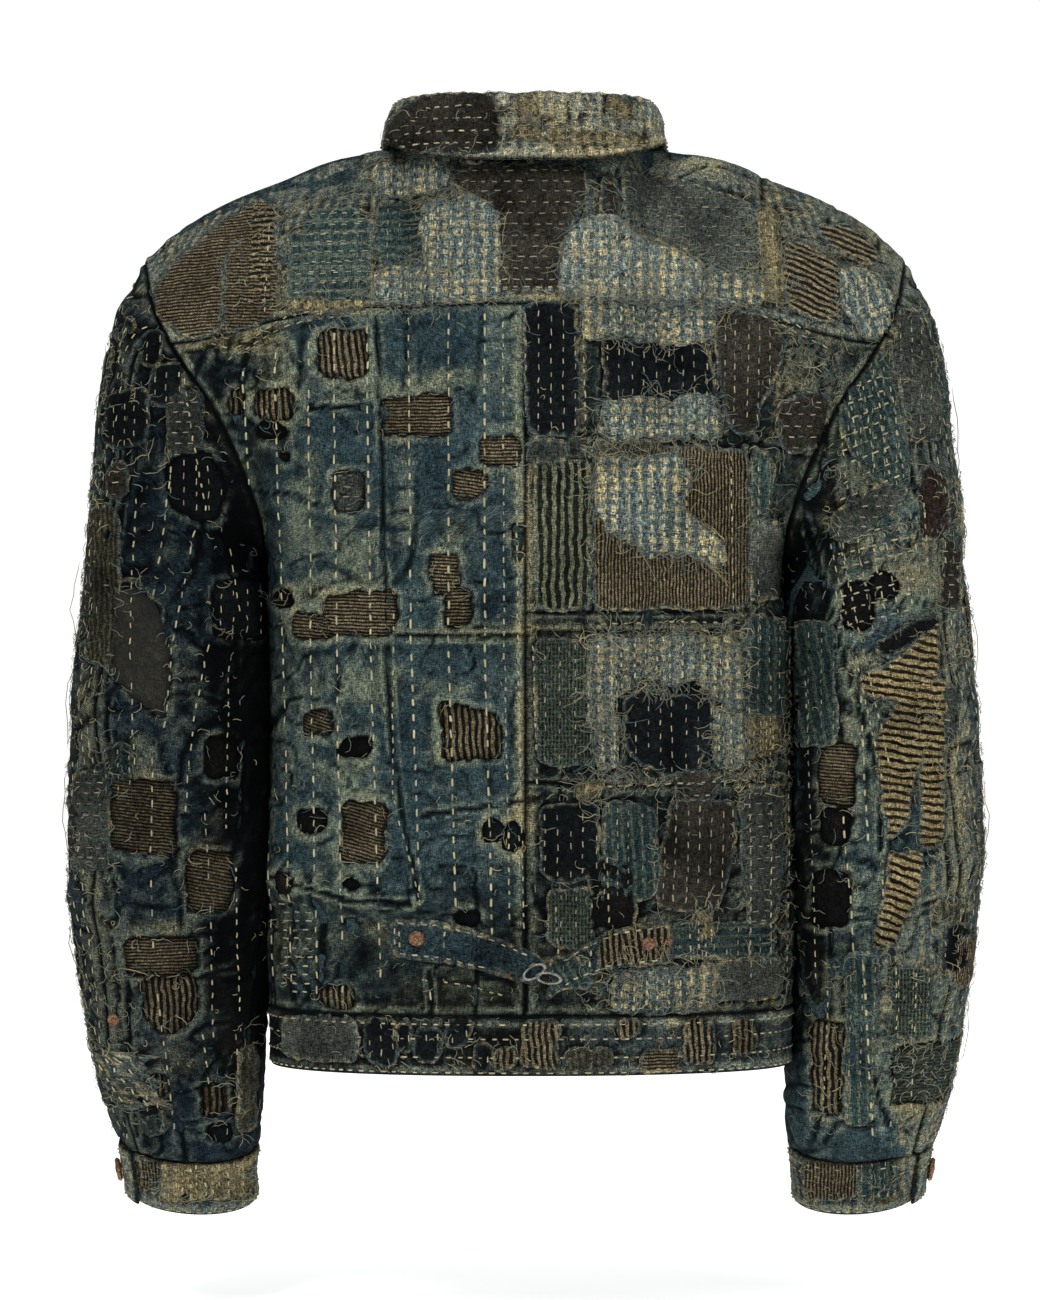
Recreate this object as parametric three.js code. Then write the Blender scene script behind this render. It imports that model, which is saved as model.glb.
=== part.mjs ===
// A patched boro denim jacket, hollow and filled out as it is worn: a split back with a yoke, a pair of
// pleats and a cinch strap, two plain fronts with a row of buttons, two-piece sleeves, cuffs, a waistband
// and a turned-down collar, with the largest patches sewn on as pieces of their own.
//
// Millimetres. +Z is up, -Y is out of the back, +X is the wearer's right. The origin is the middle of the
// neckline at the height where the wearer's shoulders carry the jacket.
import * as THREE from "three";
import { mergeVertices } from "three/addons/utils/BufferGeometryUtils.js";

// ---- Driving sizes ----
const clothWall = 2; // one layer of quilted denim
const doubledWall = 2.6; // bands, straps and cuffs are sewn double
const patchWall = 1.4;
const seamGap = 0.3; // between two pieces that are sewn edge to edge
const patchGap = 1.6; // between a patch and the flat facets of the panel below it
const ringCentre = 4; // how far forward the middle of the body lies
const ringSquareness = 2.4; // 2 is an ellipse, and more is boxier
const underarmHeight = -272;
const armholeReach = 2; // the higher, the less the armhole's curve is felt towards the centre line
const bandTop = -577;
const bandBottom = -617;
const yokeHeight = -102; // the yoke seam at the centre back
const yokeDrop = 23; // and how much lower it meets the armhole
const frontOverlap = 15; // each front runs this far past the centre line
const pleatDepth = { left: 2.6, right: 1.2 }; // the right one lies flatter, under its patches

// Half the body's width, its depth behind the middle and before it, each by height.
const halfWidth = [[-617, 175], [-577, 177], [-548, 180], [-500, 180], [-400, 178], [-272, 178]];
const backDepth = [[-617, 113], [-577, 116], [-552, 118], [-527, 115], [-488, 124], [-400, 120], [-272, 121]];
const frontDepth = [[-617, 116], [-577, 119], [-540, 126], [-450, 125], [-350, 123], [-272, 122]];

// Where the columns of the body's grid stand: 0 is the centre line, 1 the side seam. The neck point is
// at neckColumn, and the pleat is folded between two columns that stand close together. Below the yoke
// the pleat runs in towards the waist, and takes the columns beside it with it.
const columns = [0, 0.13, 0.27, 0.4, 0.47, 0.478, 0.57, 0.67, 0.78, 0.89, 1];
const neckColumn = 0.4;
const pleatColumn = 0.474;
const pleatRun = [[-617, 0.35], [-500, 0.37], [-400, 0.41], [-300, 0.435], [-102, 0.474]];
const lowerRows = [bandTop, -552, -530, -508, -488, -465, -420, -370, -320, underarmHeight];
const upperBackRows = 4;
const yokeRows = 4;
const upperFrontRows = 6;

// ---- Small helpers ----
const v3 = (x, y, z) => new THREE.Vector3(x, y, z);
const radians = THREE.MathUtils.degToRad;
const smoothstep = THREE.MathUtils.smoothstep;
const sideName = (side) => (side < 0 ? "left" : "right");
const lerp = THREE.MathUtils.lerp;

// A smooth line through a few points, read by its share of the length.
function lineThrough(points) {
  const line = new THREE.CatmullRomCurve3(points.map((p) => v3(...p)), false, "centripetal");
  return (share) => line.getPointAt(Math.min(1, Math.max(0, share)));
}

// A smooth value from a short table of [position, value] rows.
function profile(table, at) {
  const last = table.length - 1;
  const k = Math.min(last - 1, Math.max(0, table.findIndex((row, i) => i < last && at < table[i + 1][0])));
  const here = at >= table[last][0] ? last - 1 : k;
  const slope = (i) => {
    const a = table[Math.max(0, i - 1)];
    const b = table[Math.min(last, i + 1)];
    return (b[1] - a[1]) / (b[0] - a[0]);
  };
  const [x0, y0] = table[here];
  const [x1, y1] = table[here + 1];
  const span = x1 - x0;
  const t = Math.min(1, Math.max(0, (at - x0) / span));
  const eased = (3 - 2 * t) * t * t;
  const slopes = (t - 1) * (t - 1) * t * slope(here) + (t - 1) * t * t * slope(here + 1);
  return lerp(y0, y1, eased) + span * slopes;
}

// ---- The body's form ----
// A point of a level ring round the body: angle 0 is the centre back and 180 the centre front.
function ringPoint(angle, height) {
  const across = Math.abs(Math.sin(angle)) / profile(halfWidth, height);
  const depth = profile(Math.cos(angle) > 0 ? backDepth : frontDepth, height);
  const along = Math.abs(Math.cos(angle)) / depth;
  const reach = (across ** ringSquareness + along ** ringSquareness) ** (-1 / ringSquareness);
  return v3(reach * Math.sin(angle), ringCentre - reach * Math.cos(angle), height);
}

const underarm = [178, ringCentre, underarmHeight];
const shoulderTip = [264, 9, -64];
const neckPoint = [82, 5, 15];
const shoulderSlope = [[134, 7, 6], [168, 8, -7.5], [203, 9, -21], [229, 9, -35], [248, 9, -49]];
const shoulderLine = lineThrough([neckPoint, ...shoulderSlope, shoulderTip]);
const backNeck = lineThrough([[0, -62, 3], [42, -55, 6], [72, -30, 12], neckPoint]);
const frontNeck = lineThrough([[0, 84, -50], [28, 79, -43], [58, 62, -20], [78, 34, 6], neckPoint]);
const backArmholeLow = [[179, -60, -248], [189, -80, -216], [200, -84, -190]];
const backArmholeHigh = [[213, -82, -165], [233, -68, -137], [252, -42, -103]];
const frontArmholeLow = [[180, 55, -255], [192, 82, -222], [206, 88, -190]];
const frontArmholeHigh = [[226, 82, -152], [245, 66, -122], [258, 38, -92]];
const backArmhole = lineThrough([underarm, ...backArmholeLow, ...backArmholeHigh, shoulderTip]);
const frontArmhole = lineThrough([underarm, ...frontArmholeLow, ...frontArmholeHigh, shoulderTip]);
const lowBack = [0, ringCentre - profile(backDepth, underarmHeight), underarmHeight];
const lowFront = [0, ringCentre + profile(frontDepth, underarmHeight), underarmHeight];
const centreBack = lineThrough([lowBack, [0, -122, -190], [0, -113, -110], [0, -90, -45], [0, -62, 3]]);
const centreFront = lineThrough([lowFront, [0, 124, -200], [0, 108, -110], [0, 84, -50]]);

// The sheet between the underarm ring and the neck and shoulder, spread between its four edges.
function upperSheet(isBack, s, t) {
  const bottom = (u) => ringPoint(radians(isBack ? 90 * u : 180 - 90 * u), underarmHeight);
  const neck = isBack ? backNeck : frontNeck;
  const shoulder = (u) => shoulderLine((u - neckColumn) / (1 - neckColumn));
  const top = (u) => (u < neckColumn ? neck(u / neckColumn) : shoulder(u));
  const centre = isBack ? centreBack : centreFront;
  const armhole = isBack ? backArmhole : frontArmhole;
  const side = s ** armholeReach;
  const point = bottom(s).multiplyScalar(1 - t).addScaledVector(top(s), t);
  point.addScaledVector(centre(t), 1 - side).addScaledVector(armhole(t), side);
  point.addScaledVector(bottom(0), -(1 - side) * (1 - t)).addScaledVector(bottom(1), -side * (1 - t));
  return point.addScaledVector(top(0), -(1 - side) * t).addScaledVector(top(1), -side * t);
}

// How far up the upper sheet a height lies, in the column s.
function shareAtHeight(isBack, s, height) {
  let low = 0;
  let high = 1;
  for (let i = 0; i < 30; i++) {
    const middle = (low + high) / 2;
    if (upperSheet(isBack, s, middle).z < height) low = middle;
    else high = middle;
  }
  return (low + high) / 2;
}

// A point of the smooth body, by column and height. Side is 1 for +X and -1 for -X.
function bodyPoint(isBack, side, s, height) {
  const point =
    height <= underarmHeight
      ? ringPoint(radians(isBack ? 90 * s : 180 - 90 * s), height)
      : upperSheet(isBack, s, shareAtHeight(isBack, s, height));
  point.x *= side;
  return point;
}

const yokeSeam = (s) => yokeHeight - yokeDrop * smoothstep(s, 0.5, 1);

// A column's place at a height below the yoke.
function columnAtHeight(s, height) {
  const pleat = profile(pleatRun, height);
  return s < pleatColumn ? (s * pleat) / pleatColumn : 1 - ((1 - s) * (1 - pleat)) / (1 - pleatColumn);
}

// ---- Folds ----
// Each is a soft ridge along a straight line seen from behind: its two ends as [x, z], the half-width of
// its slope, and its height, which is negative for a trough.
const backFolds = [
  { from: [-178, -486], to: [-70, -500], reach: 13, height: 6 },
  { from: [-178, -512], to: [-80, -516], reach: 12, height: -4 },
  { from: [60, -480], to: [180, -470], reach: 20, height: 4 },
  { from: [-170, -262], to: [-120, -400], reach: 20, height: 5 },
  { from: [172, -262], to: [140, -380], reach: 18, height: 4 },
  { from: [-100, -300], to: [-60, -420], reach: 22, height: 3 },
];
const sleeveFolds = [
  { from: [-300, -250], to: [-215, -330], reach: 20, height: 6 },
  { from: [-305, -365], to: [-205, -410], reach: 18, height: 5 },
  { from: [-290, -420], to: [-210, -470], reach: 16, height: -5 },
  { from: [-305, -500], to: [-205, -535], reach: 18, height: 5 },
  { from: [-285, -600], to: [-200, -585], reach: 16, height: 4 },
  { from: [205, -260], to: [290, -230], reach: 20, height: 5 },
  { from: [215, -330], to: [300, -380], reach: 20, height: 6 },
  { from: [210, -430], to: [300, -410], reach: 18, height: -5 },
  { from: [215, -500], to: [300, -480], reach: 18, height: 6 },
  { from: [210, -585], to: [280, -560], reach: 16, height: 4 },
];

function foldHeight(folds, x, z) {
  return folds.reduce((sum, fold) => {
    const run = [fold.to[0] - fold.from[0], fold.to[1] - fold.from[1]];
    const along = ((x - fold.from[0]) * run[0] + (z - fold.from[1]) * run[1]) / (run[0] ** 2 + run[1] ** 2);
    const near = Math.min(1, Math.max(0, along));
    const away = Math.hypot(x - fold.from[0] - near * run[0], z - fold.from[1] - near * run[1]);
    return sum + fold.height * Math.exp(-((away / fold.reach) ** 2));
  }, 0);
}

// The pleat's folded edge stands proud of the cloth beside it, and dies out at the waist and the yoke.
function pleatHeight(side, s, height) {
  const reach = smoothstep(height, -520, -450) * (1 - smoothstep(height, -125, -108));
  return s > pleatColumn ? pleatDepth[sideName(side)] * reach * (1 - smoothstep(s, pleatColumn, 0.85)) : 0;
}

// ---- Grids of points ----
// Grids that share edges are given one set of normals, so that their walls end face to face.
function sharedNormals(grids) {
  const sums = new Map();
  const key = (p) => [p.x, p.y, p.z].map((n) => Math.round(n * 50) + 0).join();
  for (const grid of grids)
    for (let i = 0; i + 1 < grid.length; i++)
      for (let j = 0; j + 1 < grid[i].length; j++) {
        const corners = [grid[i][j], grid[i + 1][j], grid[i + 1][j + 1], grid[i][j + 1]];
        const face = corners[2].clone().sub(corners[0]).cross(corners[3].clone().sub(corners[1]));
        for (const p of corners) {
          if (!sums.has(key(p))) sums.set(key(p), v3(0, 0, 0));
          sums.get(key(p)).add(face);
        }
      }
  return grids.map((grid) => grid.map((column) => column.map((p) => sums.get(key(p)).clone().normalize())));
}

// A copy of a grid with each point moved along its normal.
function moved(grid, normals, howFar) {
  const movedPoint = (p, i, j) => p.clone().addScaledVector(normals[i][j], howFar(p, normals[i][j], i, j));
  return grid.map((column, i) => column.map((p, j) => movedPoint(p, i, j)));
}

// Draws a grid's four edges in by half of a seam's gap, or by more where it is asked.
function drawnIn(grid, edges = {}) {
  const half = seamGap / 2;
  const { start, end, low, high } = { start: half, end: half, low: half, high: half, ...edges };
  const copy = grid.map((column) => column.map((p) => p.clone()));
  const pull = (p, towards, by) => p.addScaledVector(towards.clone().sub(p).normalize(), by);
  const last = copy.length - 1;
  const top = copy[0].length - 1;
  copy[0].forEach((p, j) => pull(p, grid[1][j], start));
  copy[last].forEach((p, j) => pull(p, grid[last - 1][j], end));
  copy.forEach((column) => pull(column[0], column[1], low));
  copy.forEach((column) => pull(column[top], column[top - 1], high));
  return copy;
}

// A wall between two grids of points, closed along all four edges.
function wallBetween(outer, inner) {
  const positions = [];
  const quad = (a, b, c, d) => [a, b, c, a, c, d].forEach((p) => positions.push(p.x, p.y, p.z));
  const last = outer.length - 1;
  const top = outer[0].length - 1;
  for (let i = 0; i < last; i++)
    for (let j = 0; j < top; j++) {
      quad(outer[i][j], outer[i + 1][j], outer[i + 1][j + 1], outer[i][j + 1]);
      quad(inner[i][j + 1], inner[i + 1][j + 1], inner[i + 1][j], inner[i][j]);
    }
  for (let i = 0; i < last; i++) {
    quad(outer[i + 1][0], outer[i][0], inner[i][0], inner[i + 1][0]);
    quad(outer[i][top], outer[i + 1][top], inner[i + 1][top], inner[i][top]);
  }
  for (let j = 0; j < top; j++) {
    quad(outer[0][j], outer[0][j + 1], inner[0][j + 1], inner[0][j]);
    quad(outer[last][j + 1], outer[last][j], inner[last][j], inner[last][j + 1]);
  }
  const geometry = new THREE.BufferGeometry();
  geometry.setAttribute("position", new THREE.Float32BufferAttribute(positions, 3));
  return mergeVertices(geometry, 1e-4);
}

// A cloth wall on the inner side of a grid, with the edges drawn in.
function clothOn(grid, normals, wall, edges) {
  const outer = drawnIn(grid, edges);
  return wallBetween(outer, moved(outer, normals, () => -wall));
}

// ---- Finishes ----
const finishes = {
  denim: new THREE.MeshStandardMaterial({ color: 0x2f4a55, roughness: 0.92, metalness: 0 }),
  boro: new THREE.MeshStandardMaterial({ color: 0x3a4244, roughness: 0.95, metalness: 0 }),
  patch: new THREE.MeshStandardMaterial({ color: 0x3a3129, roughness: 0.95, metalness: 0 }),
  copper: new THREE.MeshStandardMaterial({ color: 0x8a5440, roughness: 0.5, metalness: 1 }),
  steel: new THREE.MeshStandardMaterial({ color: 0x8e8c86, roughness: 0.4, metalness: 1 }),
};

const jacket = new THREE.Group();
function add(name, geometry, finish) {
  const mesh = new THREE.Mesh(geometry, finishes[finish]);
  mesh.name = name;
  jacket.add(mesh);
  return mesh;
}

// ---- Back, yoke and fronts ----
// Columns run so that each grid's faces point outwards: the order is reversed on the far side.
const ordered = (list, side, isBack) => (side * (isBack ? 1 : -1) > 0 ? list : [...list].reverse());

function backGrid(side) {
  return ordered(columns, side, true).map((s) => {
    const upper = [];
    for (let k = 1; k <= upperBackRows; k++) upper.push(lerp(underarmHeight, yokeSeam(s), k / upperBackRows));
    return [...lowerRows, ...upper].map((z) => bodyPoint(true, side, columnAtHeight(s, z), z));
  });
}

function yokeGrid(side) {
  return ordered(columns, side, true).map((s) => {
    const from = shareAtHeight(true, s, yokeSeam(s));
    const line = [];
    for (let k = 0; k <= yokeRows; k++) {
      const point = upperSheet(true, s, lerp(from, 1, k / yokeRows));
      point.x *= side;
      line.push(point);
    }
    return line;
  });
}

function frontGrid(side) {
  return ordered(columns, side, false).map((s) => {
    const upper = [];
    for (let k = 1; k <= upperFrontRows; k++) {
      const point = upperSheet(false, s, k / upperFrontRows);
      point.x *= side;
      upper.push(point);
    }
    return [...lowerRows.map((z) => bodyPoint(false, side, s, z)), ...upper];
  });
}

const facingBack = (normal) => smoothstep(-normal.y, 0.1, 0.6);
const smoothBody = [backGrid(-1), backGrid(1), yokeGrid(-1), yokeGrid(1), frontGrid(-1), frontGrid(1)];
const smoothNormals = sharedNormals(smoothBody);
const body = smoothBody.map((grid, g) =>
  moved(grid, smoothNormals[g], (p, normal, i) => {
    const side = g === 0 ? -1 : 1;
    const s = columns[side < 0 ? columns.length - 1 - i : i];
    const inside = 1 - smoothstep(s, 0.86, 1); // the folds die out before the side seam and the armhole
    const pleat = g < 2 ? pleatHeight(side, s, p.z) : 0;
    return foldHeight(backFolds, p.x, p.z) * facingBack(normal) * inside + pleat;
  }),
);
const bodyNormals = sharedNormals(body);

const bodyEdges = { low: 0.6, high: 0.4 };
add("back_left", clothOn(body[0], bodyNormals[0], clothWall, bodyEdges), "denim");
add("back_right", clothOn(body[1], bodyNormals[1], clothWall, bodyEdges), "boro");
const yoke = [...body[2], ...body[3].slice(1)];
const yokeNormals = [...bodyNormals[2], ...bodyNormals[3].slice(1)];
add("back_yoke", clothOn(yoke, yokeNormals, clothWall), "boro");

// Each front runs past the centre line, where the wearer's left one lies on top of the right.
const lapLift = clothWall + 1.6;
function frontPiece(side) {
  const g = side < 0 ? 4 : 5;
  const fromCentre = (list) => (side < 0 ? [...list] : [...list].reverse());
  const grid = fromCentre(body[g]);
  const normals = fromCentre(bodyNormals[g]);
  const beyondCentre = (a, b, share) => {
    const between = a.clone().lerp(b, share);
    return v3(-between.x, between.y, between.z);
  };
  const shares = grid[0].map((p, j) => frontOverlap / Math.abs(grid[1][j].x - p.x));
  const lap = shares.map((share, j) => beyondCentre(grid[0][j], grid[1][j], share));
  const lapNormals = shares.map((share, j) => beyondCentre(normals[0][j], normals[1][j], share).normalize());
  grid.unshift(lap);
  normals.unshift(lapNormals);
  const lift = (p) => (side < 0 ? lapLift * (1 - smoothstep(p.x * side, 16, 70)) : 0);
  const lifted = moved(grid, normals, lift);
  return clothOn(fromCentre(lifted), fromCentre(normals), clothWall, bodyEdges);
}
add("front_left", frontPiece(-1), "denim");
add("front_right", frontPiece(1), "denim");

// ---- Waistband ----
// A doubled strip from one end at the centre front right round to the other, which lies on top of it.
const bandStations = 44;
const bandLap = 9; // degrees that the two ends share
const lapOver = (share, from, lift) => lift * smoothstep(share, from, 1);
function bandGrid() {
  const grid = [];
  for (let i = 0; i <= bandStations; i++) {
    const share = i / bandStations;
    const angle = lerp(-180 - bandLap / 2, 180 + bandLap / 2, share);
    const proud = 0.8 + lapOver(1 - share, 0.93, doubledWall + 0.8);
    grid.push(
      [bandBottom, (bandBottom + bandTop) / 2, bandTop - seamGap].map((z) => {
        const p = ringPoint(radians(angle), z);
        const out = v3(p.x, p.y - ringCentre, 0).normalize();
        return p.addScaledVector(out, proud);
      }),
    );
  }
  return grid;
}
const band = bandGrid();
add("waistband", clothOn(band, sharedNormals([band])[0], doubledWall), "boro");

// ---- Sleeves ----
// Stations down the arm: the outer and inner edge as [x, z], the middle's depth, half the depth across,
// and how far the section leans, in degrees.
const sleeveStations = [
  { outer: [279, -96], inner: [181, -284], middle: 2, depth: 82, lean: 0 },
  { outer: [290, -142], inner: [181.5, -296], middle: -3, depth: 78, lean: 0 },
  { outer: [297, -202], inner: [181.5, -314], middle: -9, depth: 73, lean: 0 },
  { outer: [303, -275], inner: [180, -346], middle: -15, depth: 69, lean: 0 },
  { outer: [309, -345], inner: [180, -390], middle: -19, depth: 66, lean: 1 },
  { outer: [313, -415], inner: [180, -442], middle: -20, depth: 65, lean: 3 },
  { outer: [314, -480], inner: [180, -497], middle: -17, depth: 64, lean: 6 },
  { outer: [310, -540], inner: [181, -550], middle: -8, depth: 61, lean: 9 },
  { outer: [303, -592], inner: [181, -598], middle: 4, depth: 57, lean: 12 },
  { outer: [296, -634], inner: [180, -640], middle: 15, depth: 52, lean: 13 },
  { outer: [285, -669], inner: [184, -675], middle: 24, depth: 47, lean: 14 },
];
const sleeveRows = 16;
const backSeamAngle = 50; // from the outer edge towards the back
const frontSeamAngle = -130;
const topSegments = 10;
const underSegments = 9;
const underarmEase = 2.4; // how far the under sleeve stops short of the body, where the two fold together

// A point of one station's section: angle 0 is the outer edge, 90 the back and 180 the inner edge.
function sectionPoint(station, angle) {
  const outer = v3(station.outer[0], station.middle, station.outer[1]);
  const inner = v3(station.inner[0], station.middle, station.inner[1]);
  const lean = radians(station.lean);
  const across = outer.clone().sub(inner).multiplyScalar(0.5);
  const deep = v3(0, -Math.cos(lean), -Math.sin(lean)).multiplyScalar(station.depth);
  return inner.add(across).addScaledVector(across, Math.cos(angle)).addScaledVector(deep, Math.sin(angle));
}

// A point of the armhole at the same angle.
function armholePoint(angle) {
  const turn = ((angle % (2 * Math.PI)) + 2 * Math.PI) % (2 * Math.PI);
  return turn <= Math.PI ? backArmhole(1 - turn / Math.PI) : frontArmhole(turn / Math.PI - 1);
}

// The line down the sleeve at one angle, from the armhole to the cuff.
function sleeveLine(angle) {
  const points = [armholePoint(angle), ...sleeveStations.map((station) => sectionPoint(station, angle))];
  return new THREE.CatmullRomCurve3(points, false, "centripetal");
}

function sleeveGrid(side) {
  const angles = [];
  const nextFrontSeam = frontSeamAngle + 360;
  for (let k = 0; k <= topSegments; k++) angles.push(lerp(frontSeamAngle, backSeamAngle, k / topSegments));
  for (let k = 1; k <= underSegments; k++) angles.push(lerp(backSeamAngle, nextFrontSeam, k / underSegments));
  const grid = angles.map((degrees) => {
    const line = sleeveLine(radians(degrees));
    const column = [];
    for (let j = sleeveRows; j >= 0; j--) {
      const point = line.getPoint(j / sleeveRows);
      point.x *= side;
      column.push(point);
    }
    return column;
  });
  return side > 0 ? grid.reverse() : grid;
}

function addSleeve(side) {
  const smooth = sleeveGrid(side);
  const name = sideName(side);
  const nearCuff = (j) => 1 - smoothstep(j / sleeveRows, 0.78, 0.94); // the folds die out at the armhole
  const fold = (p, normal, i, j) => foldHeight(sleeveFolds, p.x, p.z) * facingBack(normal) * nearCuff(j);
  const bent = moved(smooth, sharedNormals([smooth])[0], fold);
  const normals = sharedNormals([bent])[0];
  const split = side > 0 ? underSegments : topSegments;
  const [top, under] = side > 0 ? [[split], [0, split + 1]] : [[0, split + 1], [split]];
  const cloth = (range, high) =>
    clothOn(bent.slice(...range), normals.slice(...range), clothWall, { high, low: seamGap });
  add(`sleeve_${name}_top`, cloth(top, 1), "boro");
  add(`sleeve_${name}_under`, cloth(under, underarmEase), "denim");
}
addSleeve(-1);
addSleeve(1);

// ---- Cuffs ----
const cuffTop = { outer: [281, -671.5], inner: [185, -677.5], middle: 25, depth: 45.5, lean: 14 };
const cuffBottom = { outer: [276, -709], inner: [187, -715], middle: 34, depth: 43, lean: 14 };
const cuffStations = 24;
const tabEnd = 42; // degrees from the outer edge to the tab's free end, which stands off the cuff
const tabLap = 24; // degrees that it laps over the other end
function cuffPoint(angle, share, proud) {
  const point = sectionPoint(cuffTop, angle).lerp(sectionPoint(cuffBottom, angle), share);
  const middle = sectionPoint(cuffTop, 0).add(sectionPoint(cuffTop, Math.PI)).multiplyScalar(0.5);
  const out = point.clone().sub(middle).setZ(0).normalize();
  return point.addScaledVector(out, proud);
}
function cuffGrid(side) {
  const grid = [];
  for (let i = 0; i <= cuffStations; i++) {
    const share = i / cuffStations;
    const degrees = lerp(tabEnd, tabEnd - 360 - tabLap, share);
    const proud = lapOver(1 - share, 0.82, doubledWall + 2.4);
    const column = [1, 0.5, 0].map((down) => {
      const point = cuffPoint(radians(degrees), down, proud);
      point.x *= side;
      return point;
    });
    grid.push(column);
  }
  return side > 0 ? grid : grid.reverse();
}
for (const side of [-1, 1]) {
  const grid = cuffGrid(side);
  add(`cuff_${sideName(side)}`, clothOn(grid, sharedNormals([grid])[0], doubledWall), "boro");
}

// ---- Collar ----
// A folded strip: up from the neckline, over the fold and down again as the leaf, from one front edge
// round the back to the other.
const collarStations = 28;
// From the centre back round the side of the neck, and then on to the centre front.
const neckBack = [[0, -62, 4], [42, -55, 7], [72, -30, 13], [82, 5, 16]];
const neckFront = [[78, 34, 7], [58, 62, -17], [28, 79, -39], [3, 85, -44]];
const foldBack = [[0, -60, 43], [46, -54, 43.5], [77, -30, 43], [85, 6, 37]];
const foldFront = [[79, 38, 20], [54, 66, -5], [4, 87, -25]];
const leafBack = [[0, -82, 3], [54, -76, 4], [94, -44, 8], [110, 4, 15]];
const leafFront = [[108, 44, -4], [90, 84, -46], [46, 112, -94], [6, 98, -44]];
const neckSide = lineThrough([...neckBack, ...neckFront]);
const foldLine = lineThrough([...foldBack, ...foldFront]);
const leafLine = lineThrough([...leafBack, ...leafFront]);
const foldRise = 3.4; // half the thickness of the fold
function collarGrid() {
  const grid = [];
  for (let i = -collarStations / 2; i <= collarStations / 2; i++) {
    const share = Math.abs(i) / (collarStations / 2);
    const side = i < 0 ? -1 : 1;
    const leafShare = share * 0.86;
    const [neck, fold, leaf] = [neckSide(share), foldLine(share), leafLine(leafShare)];
    const out = v3(leaf.x - neck.x, leaf.y - neck.y, 0).normalize();
    const stand = neck.clone().lerp(fold, 0.55);
    const inFold = fold.clone().addScaledVector(out, -foldRise * 0.2);
    const crown = fold.clone().addScaledVector(out, foldRise).add(v3(0, 0, 1.8));
    const outFold = fold.clone().addScaledVector(out, foldRise * 2.4).add(v3(0, 0, -1.2));
    const middle = outFold.clone().lerp(leaf, 0.5).addScaledVector(out, 1.5);
    const column = [neck.add(v3(0, 0, seamGap)), stand, inFold, crown, outFold, middle, leaf];
    column.forEach((p) => (p.x *= side));
    grid.push(column);
  }
  return grid.reverse();
}
const collar = collarGrid();
add("collar", clothOn(collar, sharedNormals([collar])[0], clothWall, { low: 0.1, high: 0.1 }), "boro");

// ---- Pieces that lie on the cloth ----
// The cloth's outer face at a place seen from behind, or from the front.
const finder = new THREE.Raycaster();
function outerFace(pieces, x, z, behind = true) {
  finder.set(v3(x, behind ? -400 : 400, z), v3(0, behind ? 1 : -1, 0));
  const hits = finder.intersectObjects(pieces);
  return { point: hits[0].point, normal: hits[0].face.normal.clone() };
}
const piecesNamed = (...names) => names.map((name) => jacket.getObjectByName(name));
const backPieces = piecesNamed("back_left", "back_right", "back_yoke");

// A flat piece laid on the cloth. Its lower and upper edge each run from -X to +X, as [x, z].
function laidPiece(pieces, low, high, wall, gap, steps) {
  const along = (edge, share) => {
    const at = Math.min(edge.length - 2, Math.floor(share * (edge.length - 1)));
    const t = share * (edge.length - 1) - at;
    return [lerp(edge[at][0], edge[at + 1][0], t), lerp(edge[at][1], edge[at + 1][1], t)];
  };
  const [outer, inner] = [[], []];
  for (let i = 0; i <= steps[0]; i++) {
    const [bottom, top] = [along(low, i / steps[0]), along(high, i / steps[0])];
    const places = Array.from({ length: steps[1] + 1 }, (_, j) => {
      const v = j / steps[1];
      return outerFace(pieces, lerp(bottom[0], top[0], v), lerp(bottom[1], top[1], v));
    });
    outer.push(places.map(({ point, normal }) => point.clone().addScaledVector(normal, gap + wall)));
    inner.push(places.map(({ point, normal }) => point.clone().addScaledVector(normal, gap)));
  }
  return wallBetween(outer, inner);
}

// The cinch strap is two tongues that meet at the buckle, the right one passing on below it.
const strapGap = 1.8;
const strapLeft = {
  low: [[-89, -538], [-53, -542], [-19, -549], [7, -558]],
  high: [[-91, -512], [-56, -513], [-25, -522], [14, -539]],
};
const strapRight = {
  low: [[12, -569], [30, -556], [54, -546], [98, -542]],
  high: [[20, -542], [40, -528], [60, -519], [99, -513]],
};
const strap = ({ low, high }) => laidPiece(backPieces, low, high, doubledWall, strapGap, [12, 2]);
add("cinch_strap_left", strap(strapLeft), "denim");
add("cinch_strap_right", strap(strapRight), "boro");
const strapPieces = piecesNamed("cinch_strap_left", "cinch_strap_right");

// Turns a small piece's +Z to the cloth's normal and sets it down on the face.
function setDown(mesh, { point, normal }, gap) {
  mesh.quaternion.setFromUnitVectors(v3(0, 0, 1), normal);
  mesh.position.copy(point).addScaledVector(normal, gap);
}

// The buckle is a bent wire frame over the place where the two tongues meet.
const buckleHalf = [10, 6.5];
const wireHalf = 1.1;
function rectangle(half, Kind) {
  const corners = [[-1, -1], [1, -1], [1, 1], [-1, 1]];
  return new Kind(corners.map(([a, b]) => new THREE.Vector2(a * half[0], b * half[1])));
}
const frame = rectangle(buckleHalf.map((h) => h + wireHalf), THREE.Shape);
frame.holes.push(rectangle(buckleHalf.map((h) => h - wireHalf), THREE.Path));
const frameGeometry = new THREE.ExtrudeGeometry(frame, { depth: 2 * wireHalf, bevelEnabled: false });
setDown(add("cinch_buckle", frameGeometry, "steel"), outerFace(strapPieces, 9, -549), 2);

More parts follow.
